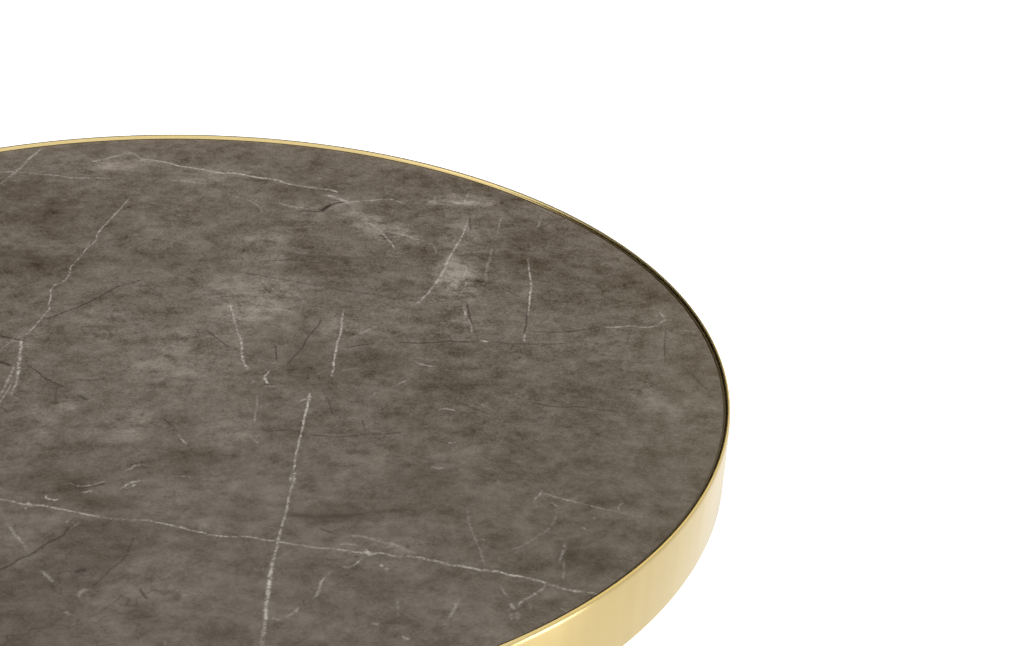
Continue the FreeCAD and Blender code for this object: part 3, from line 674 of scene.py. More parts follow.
        (-40, 490, 0.5), (-90, 478), (-150, 470), (-210, 455, 0.7), (-270, 448), (-340, 432), (-400, 424, 0.6))),
    ("out_front_b", 1.5, 0.55, (
        (-120, 690, 0.5), (-132, 650), (-150, 600), (-158, 560, 0.7), (-176, 510), (-186, 470), (-205, 420, 0.6))),
    ("out_left_a", 1.2, 0.60, (
        (-60, 210, 0.4), (-95, 238), (-118, 262), (-150, 285), (-172, 320), (-200, 350, 0.7), (-226, 392, 0.5))),
    ("out_left_b", 1.0, 0.40, ((-250, 250), (-240, 280), (-255, 310), (-262, 340, 0.5))),
    ("out_left_c", 1.2, 0.45, ((-330, 330, 0.4), (-300, 345), (-268, 352), (-240, 366), (-205, 371, 0.4))),
    ("out_front_c", 1.2, 0.40, ((120, 690), (80, 700), (30, 688), (-20, 680, 0.7), (-70, 668, 0.4))),
    ("out_front_d", 1.0, 0.45, ((-30, 570), (-52, 592), (-80, 604), (-104, 622, 0.5))),
    ("out_front_e", 1.2, 0.50, ((330, 690), (318, 700), (296, 712), (280, 728, 0.5))),
    ("out_left_d", 1.3, 0.50, ((-300, 560, 0.5), (-318, 530), (-345, 500), (-352, 474, 0.6))),
)}

DARK_VEINS: dict[str, Vein] = {name: Vein(*drawn) for name, *drawn in (
    ("left_long", 0.9, 0.55, (
        (150, 276, 0.4), (138, 281), (118, 287), (106, 293), (95, 299), (85, 304), (70, 310), (55, 316),
        (43, 319))),
    ("left_ledge", 1.2, 0.60, ((-20, 333), (0, 336), (10, 338), (20, 340), (32, 342, 0.5))),
    ("left_wedge", 2.0, 0.55, ((-14, 360), (0, 362), (6, 364), (13, 367))),
    ("left_slide", 1.2, 0.42, ((22, 365), (30, 367), (38, 372), (45, 378), (55, 383), (62, 386), (73, 390, 0.5))),
    ("left_thread", 0.7, 0.55, ((72, 378), (80, 380), (90, 380), (101, 379))),
    ("left_bruise", 2.6, 0.45, ((78, 394), (84, 398), (90, 400))),
    ("left_fall", 0.8, 0.35, ((56, 387), (56, 394), (56, 401))),
    ("squiggle_shade", 0.9, 0.45, ((190, 329), (200, 330), (207, 331), (215, 337), (222, 342), (231, 349))),
    ("far_crack", 1.6, 0.60, ((296, 211), (310, 211), (320, 211), (327, 206), (338, 203), (352, 201))),
    ("far_knot", 2.8, 0.75, ((321, 212), (327, 207), (333, 204))),
    ("slant_shade", 1.0, 0.55, ((470, 216), (470, 223), (471, 231))),
    ("slant_foot", 1.0, 0.55, ((467, 303), (469, 313), (472, 325))),
    ("hair_a", 0.8, 0.50, (
        (226, 270, 0.5), (258, 275), (290, 281), (320, 286), (340, 290), (370, 294), (400, 299), (422, 301))),
    ("hair_w", 0.9, 0.50, ((258, 262), (285, 260), (310, 261))),
    ("hair_b", 1.0, 0.42, ((322, 318), (317, 327), (311, 333), (306, 340), (302, 348), (294, 357), (286, 366))),
    ("hair_c", 0.8, 0.55, ((275, 344), (276, 352), (276, 361))),
    ("hair_d", 1.0, 0.50, ((341, 348), (350, 347), (362, 345), (377, 343))),
    ("hair_e", 1.0, 0.65, ((398, 342), (420, 343), (440, 342), (450, 341), (462, 342), (476, 342))),
    ("hair_f", 0.9, 0.60, ((490, 341), (505, 343), (520, 344), (535, 344), (550, 344), (575, 341))),
    ("hair_g", 0.9, 0.60, ((528, 331), (545, 332), (560, 332), (580, 330), (601, 327))),
    ("hair_h", 0.9, 0.60, ((528, 306, 0.5), (527, 315), (526, 325), (524, 334))),
    ("hair_i", 0.8, 0.45, ((498, 286), (510, 292), (521, 298))),
    ("hair_j", 0.8, 0.40, ((540, 299), (556, 301), (572, 303))),
    ("hair_k", 0.9, 0.60, ((680, 365), (690, 373), (700, 383), (709, 391))),
    ("hair_l", 0.8, 0.45, ((666, 330), (665, 342), (665, 356), (665, 366, 0.5))),
    ("hair_m", 0.8, 0.35, ((629, 330), (628, 340), (624, 348))),
    ("hair_n", 1.1, 0.45, ((528, 402), (545, 405), (560, 407), (580, 407), (600, 410), (618, 411))),
    ("hair_o", 1.0, 0.45, ((260, 430), (270, 431), (280, 430), (290, 430), (304, 433))),
    ("hair_p", 1.0, 0.45, ((309, 435), (325, 436), (340, 437), (355, 436), (365, 434), (380, 434), (404, 432))),
    ("hair_q", 0.8, 0.40, ((362, 419), (364, 427), (365, 433))),
    ("hair_r", 1.0, 0.40, ((463, 404), (470, 407), (478, 410), (492, 415))),
    ("hair_s", 0.8, 0.35, ((321, 392), (326, 390), (332, 387))),
    ("hair_t", 0.8, 0.35, ((325, 395), (330, 405), (333, 416))),
    ("hair_u", 0.9, 0.45, ((158, 416), (168, 422), (175, 429), (179, 434, 0.5))),
    ("hair_v", 1.0, 0.45, ((66, 486), (80, 488), (95, 486), (108, 483))),
    ("low_left_crack", 1.4, 0.46, (
        (-30, 580, 0.5), (4, 568), (12, 564), (20, 559), (30, 555), (36, 551), (45, 545), (52, 541), (60, 537),
        (66, 531), (71, 526))),
    ("low_edge", 1.3, 0.28, (
        (134, 537), (130, 546), (127, 553), (123, 560), (116, 565), (110, 570), (100, 580, 0.6), (92, 588))),
    ("low_bruise", 3.0, 0.45, ((73, 573), (79, 571), (87, 569))),
    ("low_tick", 1.4, 0.45, ((139, 588), (143, 594), (148, 600))),
    ("middle_band", 4.0, 0.30, ((285, 515), (305, 516), (325, 517), (345, 516), (365, 514))),
    ("middle_tick", 1.6, 0.35, ((319, 528), (327, 531), (337, 534))),
    ("middle_bruise", 5.0, 0.30, ((344, 452), (356, 452), (371, 451))),
    ("band_left", 5.0, 0.22, ((-30, 254, 0.6), (0, 255), (30, 258), (62, 258, 0.6))),
    ("band_far", 4.0, 0.20, ((286, 254), (330, 257), (380, 258), (440, 256))),
    ("out_crack_a", 1.2, 0.60, ((-60, 300), (-100, 322), (-128, 330), (-170, 352), (-210, 362, 0.5))),
    ("out_crack_b", 1.0, 0.55, ((-100, 520), (-140, 530), (-190, 541), (-250, 545, 0.5))),
    ("out_crack_c", 1.1, 0.55, ((60, 660), (20, 672), (-30, 690), (-60, 708, 0.5))),
    ("out_crack_d", 1.0, 0.55, ((-220, 450), (-240, 480), (-250, 512), (-272, 540, 0.5))),
)}

CLOUDS: tuple[Patch, ...] = tuple(Patch(*numbers) for numbers in (
    (250, 300, 40, 20, 0.42), (215, 300, 22, 14, 0.16), (288, 292, 34, 18, 0.22), (262, 248, 32, 22, 0.24),
    (457, 278, 20, 20, 0.62), (460, 240, 18, 22, 0.22), (458, 201, 30, 6, 0.6), (130, 163, 34, 8, 0.34),
    (85, 165, 38, 9, 0.18), (215, 173, 36, 9, 0.24), (380, 228, 32, 9, 0.46, 25), (345, 205, 14, 10, 0.24),
    (310, 214, 13, 15, 0.24), (110, 325, 38, 13, 0.24), (190, 355, 52, 32, 0.2), (115, 425, 34, 14, 0.24),
    (40, 425, 18, 16, 0.2), (66, 406, 9, 7, 0.34), (230, 430, 30, 18, 0.2), (345, 325, 18, 12, 0.22),
    (370, 335, 38, 14, 0.1), (645, 392, 15, 15, 0.28), (690, 412, 28, 15, 0.22), (555, 336, 56, 12, 0.14),
    (660, 318, 18, 7, 0.16), (555, 220, 17, 11, 0.24), (345, 465, 22, 11, 0.18), (400, 545, 24, 8, 0.26),
    (355, 556, 40, 10, 0.16), (215, 525, 18, 9, 0.2), (165, 510, 24, 22, 0.16), (160, 585, 60, 24, 0.11),
    (100, 610, 24, 26, 0.11), (15, 510, 18, 14, 0.14), (70, 516, 18, 9, 0.14), (515, 355, 13, 9, 0.16),
    (160, 240, 22, 10, 0.14), (450, 610, 18, 18, 0.14), (500, 640, 30, 12, 0.16), (30, 335, 13, 8, 0.24),
    (560, 496, 24, 10, 0.12), (535, 522, 22, 11, 0.1), (470, 455, 30, 14, 0.06), (520, 284, 20, 12, 0.08),
    (420, 165, 40, 6, 0.2), (505, 205, 26, 14, 0.16), (150, 372, 50, 30, 0.09), (410, 240, 80, 50, 0.1),
    (25, 205, 50, 35, -0.1), (450, 305, 75, 26, 0.15), (620, 345, 60, 14, 0.13), (285, 322, 70, 15, 0.11),
    (465, 330, 26, 13, 0.15), (-90, 360, 60, 30, 0.2), (-180, 300, 50, 18, 0.22), (-240, 420, 60, 25, 0.18),
    (-60, 610, 50, 26, 0.18), (-300, 480, 45, 22, 0.2), (60, 690, 60, 18, 0.16), (240, 700, 50, 18, 0.18),
    (-150, 560, 40, 20, 0.16), (25, 600, 50, 28, -0.16), (60, 504, 60, 9, -0.12), (650, 285, 30, 14, -0.12),
    (555, 262, 20, 10, -0.1), (540, 530, 80, 14, -0.08), (140, 525, 60, 12, -0.09), (10, 265, 32, 15, -0.24),
    (60, 262, 38, 9, -0.18), (150, 259, 70, 7, -0.16), (90, 215, 45, 20, -0.14), (30, 213, 36, 12, -0.16),
    (15, 190, 24, 7, -0.18), (340, 270, 50, 13, -0.18), (405, 290, 18, 12, -0.18), (310, 337, 18, 17, -0.16),
    (300, 365, 26, 13, -0.14), (376, 365, 32, 12, -0.22), (440, 382, 26, 9, -0.22), (420, 480, 38, 13, -0.18),
    (400, 505, 70, 13, -0.18), (330, 515, 32, 11, -0.22), (250, 516, 22, 7, -0.18), (195, 462, 44, 13, -0.24),
    (50, 480, 40, 14, -0.26), (110, 500, 32, 9, -0.22), (90, 545, 44, 22, -0.2), (75, 572, 36, 16, -0.12),
    (225, 635, 24, 14, -0.22), (140, 610, 18, 13, -0.2), (40, 630, 44, 18, -0.14), (590, 560, 32, 11, -0.18),
    (520, 262, 16, 12, -0.18), (300, 190, 26, 9, -0.12), (610, 285, 38, 22, -0.1), (690, 365, 18, 17, -0.12),
    (380, 590, 24, 11, -0.16), (304, 570, 18, 11, -0.16), (560, 460, 40, 22, -0.06), (-130, 420, 60, 25, -0.2),
    (-220, 350, 50, 20, -0.22), (-280, 560, 60, 25, -0.2), (-20, 660, 60, 20, -0.18), (-340, 400, 40, 22, -0.18),
    (150, 690, 50, 18, -0.18), (-100, 260, 50, 15, -0.18),
))


@dataclass(frozen=True)
class Mottle:
    """One noise of a finish: its grains to a metre, its finer layers, and how far its grains are drawn out."""

    scale: float
    detail: float
    rough: float = 0.5
    stretch: float = 1.0

    def over(self, recipe: Recipe, place: Value) -> Value:
        """Lays the noise over a piece, 0.5 on average."""
        return recipe.noise(place, self.scale, self.detail, self.rough)

    def swing(self, recipe: Recipe, place: Value) -> Value:
        """Lays the noise over a piece, 0 on average."""
        return self.over(recipe, place) - MIDDLE

    def drawn(self, recipe: Recipe, place: Value, turn: float) -> Value:
        """Lays the noise with its grains drawn out along an angle on the plan, in radians."""
        return self.over(recipe, recipe.local(place, turn, (self.stretch, 1.0, 1.0)))


@dataclass(frozen=True)
class HairNet:
    """A wandering net of hair lines: loops to a metre, width as a step of the noise, and most strength."""

    scale: float
    width: float
    strength: float

    LINES = (4.0, 0.62)
    GAPS_SCALE = 0.7
    GAPS = (0.52, 0.66)

    def over(self, coat: Coat, place: Value) -> Value:
        """Draws the net, which comes and goes.

        Args:
            coat: the finish in the making.
            place: the place on the stone.

        Returns:
            How strongly a line shows at each place.
        """
        lines = abs(coat.noise(place, self.scale, *self.LINES) - MIDDLE).ramp(self.width, 0.0, 0.0, self.strength)
        return lines * coat.noise(place, self.scale * self.GAPS_SCALE, 2.0).ramp(*self.GAPS)


@dataclass(frozen=True)
class VeinedStone:
    """Honed dark limestone, brown-grey, with pale veins and fine dark cracks."""

    deep: Colour = tint(50, 34, 10)
    light: Colour = tint(160, 150, 139)
    ground_span: tuple[float, float] = (0.2, 2.4)
    vein: Colour = tint(204, 197, 187)
    crack: Colour = tint(52, 44, 36)
    crack_gain: float = 1.6
    bed_turn_deg: float = -4.0
    marks_to_a_chart: int = 12

    # the noises of the ground, and how much of each shows
    layers: Mottle = Mottle(66.0, 4.0, 0.72, 1.15)
    layers_share: float = 0.95
    mottle: Mottle = Mottle(150.0, 3.0, 0.8)
    mottle_share: float = 0.75
    grain: Mottle = Mottle(1100.0, 1.0, 0.8)
    grain_share: float = 0.8
    flecks: Mottle = Mottle(330.0, 2.0, 0.7, 1.5)
    flecks_share: float = 0.4
    pale_flecks: Ease = (0.55, 0.72, 0.0, 0.26)
    dark_flecks: Ease = (0.45, 0.28, 0.0, 0.22)
    wisps: Mottle = Mottle(150.0, 3.0, 0.8, 1.3)
    wisp_levels: Ease = (0.34, 0.66, 0.35, 1.65)

    # how the ground changes across the slab, in metres
    grain_by_depth: Ease = (-0.16, 0.06, 0.45, 1.0)
    contrast_by_side: Ease = (-0.16, 0.10, 1.6, 1.65)
    ground_by_side: Ease = (0.03, 0.15, 0.97, 0.78)

    # how far clouds and lines stray, as waves to a metre and reach
    cloud_drift: Drift = (38.0, 11 * MM)
    fleck_drift: Drift = (90.0, 4 * MM)
    line_shiver: Drift = (900.0, 0.5 * MM)
    line_drift: Drift = (160.0, 0.6 * MM)
    fray: Mottle = Mottle(700.0, 2.0, 0.8)
    fray_reach: float = 1.6 * MM
    breaks: Mottle = Mottle(420.0, 3.0, 0.9)
    break_levels: Ease = (0.40, 0.60, 0.15, 1.2)
    broad_hairs: HairNet = HairNet(16.0, 0.007, 0.45)
    close_hairs: HairNet = HairNet(30.0, 0.009, 0.34)

    roughness: float = 0.46
    relief: tuple[float, float] = (0.12, 0.2 * MM)

    def material(self, view: Viewpoint, height: float) -> bpy.types.Material:
        """Makes the finish.

        Args:
            view: the viewpoint of the picture that the marks are read from.
            height: the stone's upper face.

        Returns:
            The stone's material.
        """
        coat = Coat("veined_stone", {"Specular IOR Level": 0.35})
        place = coat.place()
        bed = math.radians(self.bed_turn_deg)
        strayed = coat.stray(place, *self.cloud_drift)
        layers = self.layers.drawn(coat, strayed, bed)
        mottle = self.mottle.drawn(coat, place, bed)
        flecks = self.flecks.drawn(coat, coat.stray(place, *self.fleck_drift), bed)
        grain = self.grain.over(coat, place)
        wisps = self.wisps.drawn(coat, strayed, bed).ramp(*self.wisp_levels)
        coarse = coat.part(place, "Y").ramp(*self.grain_by_depth)
        lively = coat.part(place, "X").ramp(*self.contrast_by_side)
        spots = flecks.ramp(*self.pale_flecks) - flecks.ramp(*self.dark_flecks)
        level = ((layers - MIDDLE) * self.layers_share + (mottle - MIDDLE) * self.mottle_share
                 + (grain - MIDDLE) * coarse * self.grain_share + spots * coarse * self.flecks_share)
        clouds = self._charted(coat, strayed, CLOUDS, view, height, Value.__add__)
        ground = coat.part(place, "X").ramp(*self.ground_by_side)
        level = ground + level * lively * (1 + clouds) + clouds + clouds.most(0.0) * (wisps - 1)
        low, high = self.ground_span
        colour = coat.blend((level - low) / (high - low), self.deep, self.light)
        wavering = coat.stray(coat.stray(place, *self.line_shiver), *self.line_drift)
        fray = self.fray.swing(coat, place) * self.fray_reach
        pale = self._charted(coat, wavering, tuple(PALE_VEINS.values()), view, height, Value.most, fray)
        dark = self._charted(coat, wavering, tuple(DARK_VEINS.values()), view, height, Value.most, fray)
        broken = self.breaks.over(coat, place).ramp(*self.break_levels)
        hairs = self.broad_hairs.over(coat, strayed) + self.close_hairs.over(coat, wavering)
        colour = coat.blend((dark * self.crack_gain).most(hairs), colour, self.crack)
        colour = coat.blend(pale * broken, colour, self.vein)
        rough = self.roughness + (mottle - MIDDLE) * 0.25 - pale * 0.06
        relief = grain * 0.5 + mottle * 0.5
        return coat.finish(base_color=colour, roughness=rough, normal=coat.bumped(relief, *self.relief))

    def _charted(self, coat: Coat, place: Value, marks: tuple[Vein | Patch, ...], view: Viewpoint, height: float,
                 join: Callable[[Value, Value], Value], fray: Feed = 0.0) -> Value:
        """Draws many marks, a few to a chart.

        Args:
            coat: the finish in the making.
            place: the place on the stone.
            marks: the marks.
            view: the viewpoint of the picture.
            height: the stone's upper face.
            join: how two marks are put together.
            fray: how far the edges of lines stray, in metres.

        Returns:
            All the marks put together.
        """
        x, y = coat.part(place, "X"), coat.part(place, "Y")
        total = None
        for first in range(0, len(marks), self.marks_to_a_chart):
            chart = Chart("stone_marks")
            drawn = None
            for mark in marks[first:first + self.marks_to_a_chart]:
                one = mark.mark(chart, view, height)
                drawn = one if drawn is None else join(drawn, one)
            part = chart.used(drawn, coat, x, y, fray)
            total = part if total is None else join(total, part)
        return total


class Grain(Enum):
    """Which way the brush ran over a metal piece."""

    UPRIGHT = "upright"
    AROUND = "around"


@dataclass(frozen=True)
class SatinGold:
    """Thin satin gold coat over brushed steel."""

    name: str
    grain: Grain
    gold: Colour = tint(230, 207, 148)
    deep: Colour = tint(222, 197, 136)
    roughness: float = 0.21
    brush_length: float = 40.0
    fine: Mottle = Mottle(900.0, 3.0, 0.6)
    broad: Mottle = Mottle(140.0, 3.0, 0.55)
    cloud: Mottle = Mottle(30.0, 2.0)
    ring_drift: Mottle = Mottle(6.0, 1.0)
    ring_reach: float = 2 * MM
    relief: tuple[float, float] = (0.05, 0.05 * MM)

    def material(self) -> bpy.types.Material:
        """Makes the finish.

        Returns:
            The material.
        """
        coat = Coat(self.name, {"Metallic": 1.0})
        place = coat.place()
        if self.grain is Grain.UPRIGHT:
            lines = coat.local(place, 0.0, (1.0, 1.0, self.brush_length))
        else:
            lines = self._around(coat, place)
        fine = self.fine.over(coat, lines)
        broad = self.broad.over(coat, lines)
        cloud = self.cloud.over(coat, place)
        shade = (broad - MIDDLE) * 0.9 + (fine - MIDDLE) * 0.4 + (cloud - MIDDLE) * 0.5 + 0.4
        colour = coat.blend(shade, self.gold, self.deep)
        rough = self.roughness + (fine - MIDDLE) * 0.14 + (cloud - MIDDLE) * 0.06
        return coat.finish(base_color=colour, roughness=rough, normal=coat.bumped(fine, *self.relief))

    def _around(self, coat: Coat, place: Value) -> Value:
        """Lays the brush lines in rings about the column.

        Args:
            coat: the finish in the making.
            place: the place on the piece.

        Returns:
            Places that change across the rings and hardly along them.
        """
        flat = coat.node("ShaderNodeVectorMath", {"operation": "MULTIPLY"}, {0: place, 1: (1.0, 1.0, 0.0)})
        out = coat.node("ShaderNodeVectorMath", {"operation": "LENGTH"}, {0: flat}, out="Value")
        drift = self.ring_drift.over(coat, place) * self.ring_reach
        return coat.node("ShaderNodeCombineXYZ", sockets={"X": out + drift, "Y": coat.part(place, "Z"), "Z": drift})


@dataclass(frozen=True)
class PlainMetal:
    """A bare or plated metal with a soft mottle."""

    name: str
    pale: Colour
    dull: Colour
    roughness: float
    metallic: float
    mottle: float
    relief_mm: float

    DRIFT = (90.0, 6 * MM)
    FINER = 9
    BUMP = 0.35

    def material(self) -> bpy.types.Material:
        """Makes the finish.

        Returns:
            The material.
        """
        coat = Coat(self.name, {"Metallic": self.metallic})
        place = coat.place()
        cloud = coat.noise(coat.stray(place, *self.DRIFT), self.mottle, 4.0, 0.6)
        fine = coat.noise(place, self.mottle * self.FINER, 3.0, 0.6)
        colour = coat.blend((cloud * 0.7 + fine * 0.3).ramp(0.32, 0.68), self.pale, self.dull)
        rough = self.roughness + (cloud - MIDDLE) * 0.22 + (fine - MIDDLE) * 0.12
        relief = coat.bumped(fine * 0.6 + cloud * 0.4, self.BUMP, self.relief_mm * MM)
        return coat.finish(base_color=colour, roughness=rough, normal=relief)


@dataclass(frozen=True)
class Fibreboard:
    """Sealed brown fibreboard, with short fibres and a darker speckle."""

    pale: Colour = tint(132, 104, 78)
    dark: Colour = tint(84, 62, 44)
    speck: Colour = tint(60, 44, 32)
    roughness: float = 0.62
    drift: Drift = (300.0, 3 * MM)
    fibres: Mottle = Mottle(420.0, 3.0, 0.6, 5.0)
    fibres_turn: float = 0.6
    crossed: Mottle = Mottle(380.0, 3.0, 0.6, 5.0)
    crossed_turn: float = 2.1
    specks: Mottle = Mottle(900.0, 2.0, 0.6)
    relief: tuple[float, float] = (0.3, 0.2 * MM)

    def material(self) -> bpy.types.Material:
        """Makes the finish.

        Returns:
            The material.
        """
        coat = Coat("fibreboard", {"Specular IOR Level": 0.3})
        place = coat.place()
        strayed = coat.stray(place, *self.drift)
        fibres = self.fibres.drawn(coat, strayed, self.fibres_turn)
        crossed = self.crossed.drawn(coat, strayed, self.crossed_turn)
        specks = self.specks.over(coat, place).ramp(0.60, 0.72)
        shade = (fibres + crossed) * 0.5
        colour = coat.blend(shade.ramp(0.35, 0.65), self.pale, self.dark)
        colour = coat.blend(specks * 0.5, colour, self.speck)
        rough = self.roughness + (fibres - MIDDLE) * 0.3
        return coat.finish(base_color=colour, roughness=rough, normal=coat.bumped(shade, *self.relief))


@dataclass(frozen=True)
class MouldedPlastic:
    """A moulded or cured piece with a fine even skin."""

    name: str
    colour: Colour
    worn: Colour
    roughness: float
    skin: float

    CLOUD = Mottle(60.0, 3.0)
    RELIEF = (0.25, 0.08 * MM)

    def material(self) -> bpy.types.Material:
        """Makes the finish.

        Returns:
            The material.
        """
        coat = Coat(self.name, {"Specular IOR Level": 0.45})
        place = coat.place()
        skin = coat.noise(place, self.skin, 3.0, 0.6)
        cloud = self.CLOUD.over(coat, place)
        colour = coat.blend((cloud * 0.7 + skin * 0.3).ramp(0.3, 0.75), self.colour, self.worn)
        rough = self.roughness + (skin - MIDDLE) * 0.18 + (cloud - MIDDLE) * 0.12
        return coat.finish(base_color=colour, roughness=rough, normal=coat.bumped(skin, *self.RELIEF))


class Pick(Enum):
    """What is selected in edit mode."""

    SPOTS = "VERT"
    FACES = "FACE"


def pick(piece: bpy.types.Object, test: Callable[[Vector], bool], what: Pick = Pick.SPOTS) -> None:
    """Goes into edit mode with some of a piece's vertices or faces selected.

    Args:
        piece: the piece.
        test: says whether the vertex, or the face with its middle, at a place is selected.
        what: whether vertices or faces are selected.
    """
    bpy.ops.object.mode_set(mode="EDIT")
    bpy.ops.mesh.select_mode(type=what.value)
    bpy.ops.mesh.select_all(action="DESELECT")
    bpy.ops.object.mode_set(mode="OBJECT")
    if what is Pick.SPOTS:
        for vertex in piece.data.vertices:
            vertex.select = test(vertex.co)
    else:
        for face in piece.data.polygons:
            face.select = test(face.center)
    bpy.ops.object.mode_set(mode="EDIT")


@dataclass(frozen=True)
class Lamp:
    """A soft square lamp."""

    name: str
    stand: tuple[float, float, float]
    side: float
    power: float
    shows_in_gloss: bool

    def add(self) -> None:
        """Adds the lamp, aimed at the table's top."""
        data = bpy.data.lights.new(self.name, "AREA")
        data.shape = "SQUARE"
        data.size = self.side
        data.energy = self.power
        lamp = bpy.data.objects.new(self.name, data)
        stand = Vector(self.stand)
        aim = Vector(LAMP_AIM) - stand
        lamp.matrix_world = Matrix.Translation(stand) @ aim.to_track_quat("-Z", "Y").to_matrix().to_4x4()
        lamp.visible_camera = False
        lamp.visible_glossy = self.shows_in_gloss
        bpy.context.scene.collection.objects.link(lamp)


@dataclass(frozen=True)
class Card:
    """A curved studio card round the table that only gloss sees."""

    name: str
    turn_deg: tuple[float, float]
    rise_deg: tuple[float, float]
    colour: Colour
    glow: float
    radius: float = 0.9

    def _beside(self, spot: Vector) -> bool:
        """Says what is cut away from the sphere.

        Args:
            spot: a spot of the sphere.

        Returns:
            Whether it lies beside the card.
        """
        out = (spot - Vector(TOP_CENTRE)).normalized()
        turn = (math.degrees(math.atan2(out.y, out.x)) + 90) % 360 - 90
        rise = math.degrees(math.asin(max(-1.0, min(1.0, out.z))))
        return not (self.turn_deg[0] < turn < self.turn_deg[1] and self.rise_deg[0] < rise < self.rise_deg[1])

    def add(self) -> None:
        """Cuts the card from a sphere about the middle of the table's top."""
        bpy.ops.object.select_all(action="DESELECT")
        bpy.ops.mesh.primitive_uv_sphere_add(segments=180, ring_count=90, radius=self.radius, location=TOP_CENTRE)
        card = bpy.context.object
        card.name = self.name
        bpy.ops.object.transform_apply(location=True, rotation=True, scale=True)
        pick(card, self._beside, Pick.FACES)
        bpy.ops.mesh.delete(type="FACE")
        bpy.ops.object.mode_set(mode="OBJECT")
        coat = Coat(self.name, {"Roughness": 1.0, "Specular IOR Level": 0.0, "Emission Strength": self.glow})
        weave = coat.noise(coat.place(), 200.0, 2.0)
        cloth = coat.blend(weave, tint(14, 13, 12), tint(20, 19, 17))
        shine = coat.blend(weave * 0.1, self.colour, tint(255, 255, 255))
        card.data.materials.append(coat.finish(base_color=cloth, emission_color=shine))
        for rays in ("camera", "diffuse", "transmission", "volume_scatter", "shadow"):
            setattr(card, f"visible_{rays}", False)


@dataclass(frozen=True)
class Studio:
    """Plain pale floor and soft lamps, with dark cards and a warm one for the metal."""

    floor_half: float = 9.0
    ambient: float = 0.30
    floor_glow: float = 0.62
    floor_shine: float = 0.27
    cards: tuple[Card, ...] = (
        Card("dark_card", (80.0, 171.0), (-12.0, 49.0), tint(0, 0, 0), 0.0),
        Card("low_dark_card", (60.0, 80.0), (-12.0, 34.5), tint(0, 0, 0), 0.0),
        Card("warm_card", (-30.0, 60.0), (0.0, 50.0), tint(255, 247, 212), 1.0),
    )
    lamps: tuple[Lamp, ...] = (
        Lamp("overhead", (0.1, 1.4, 2.1), 1.5, 41.5, False),
        Lamp("low_right", (0.98, -0.48, 0.15), 0.22, 0.6, True),
        Lamp("back_left", (-1.37, 0.37, 1.96), 1.5, 3.2, True),
    )

    def build(self) -> None:
        """Sets up the floor, the world, the lamps and the cards."""
        self._floor()
        self._world()
        for lamp in self.lamps:
            lamp.add()
        for card in self.cards:
            card.add()
        bpy.context.scene.view_settings.view_transform = "Standard"

    def _seen(self, recipe: Recipe) -> Value:
        """Tells the rays that show the background from those that only light.

        Args:
            recipe: the tree that asks.

        Returns:
            1 on camera, glossy and clear rays, and 0 on others.
        """
        rays = [recipe.node("ShaderNodeLightPath", out=name)
                for name in ("Is Camera Ray", "Is Glossy Ray", "Is Transmission Ray")]
        return rays[0].most(rays[1]).most(rays[2])

    def _floor(self) -> None:
        """Adds the pale floor, which keeps the object's shadow."""
        bpy.ops.object.select_all(action="DESELECT")
        bpy.ops.mesh.primitive_plane_add(size=2 * self.floor_half)
        floor = bpy.context.object
        floor.name = "floor"
        coat = Coat("pale_floor", {"Roughness": 0.9, "Specular IOR Level": 0.0, "Emission Strength": 1.0})
        cloud = coat.noise(coat.place(), 2.0, 2.0)
        colour = coat.blend(cloud, tint(240, 240, 240), tint(236, 236, 236))
        direct = coat.node("ShaderNodeLightPath", out="Is Camera Ray")
        level = direct * self.floor_glow + (1 - direct) * self._seen(coat) * self.floor_shine
        glow = coat.shaded((1.0, 1.0, 1.0), level)
        floor.data.materials.append(coat.finish(base_color=colour, emission_color=glow))

    def _world(self) -> None:
        """Makes the surroundings white to look at, and a plain level of light."""
        world = bpy.data.worlds.new("studio")
        world.use_nodes = True
        bpy.context.scene.world = world
        recipe = Recipe(world.node_tree)
        ground = world.node_tree.nodes["Background"]
        ground.inputs["Color"].default_value = (1.0, 1.0, 1.0, 1.0)
        seen = self._seen(recipe)
        level = seen + (1 - seen) * self.ambient
        world.node_tree.links.new(level.socket, ground.inputs["Strength"])


def dress(nodes: dict[str, bpy.types.Object], finish: bpy.types.Material, names: Iterable[str]) -> None:
    """Gives CAD nodes a finish.

    Args:
        nodes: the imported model's nodes.
        finish: the material.
        names: the nodes that take it.
    """
    for name in names:
        nodes[name].data.materials.clear()
        nodes[name].data.materials.append(finish)
        LOG.info("dressed %s in %s", name, finish.name)


def section(name: str, inner: float, outer: float, low: float,
            high: float) -> tuple[bpy.types.Object, float, float]:
    """Adds an upright strip beside the column, the start of a section.

    Args:
        name: the piece's name.
        inner: the strip's distance from the column's middle line.
        outer: the distance of its far side.
        low: the height of its lower edge.
        high: the height of its upper edge.

    Returns:
        The piece, and the distance out and the height of the strip's middle.
    """
    bpy.ops.object.select_all(action="DESELECT")
    out, height = (inner + outer) / 2, (low + high) / 2
    middle = (out, 0.0, height)
    bpy.ops.mesh.primitive_plane_add(size=1.0, location=middle, rotation=(math.pi / 2, 0.0, 0.0))
    piece = bpy.context.object
    piece.name = name
    bpy.ops.transform.resize(value=(outer - inner, 1.0, high - low), center_override=middle)
    bpy.ops.object.transform_apply(location=True, rotation=True, scale=True)
    return piece, out, height


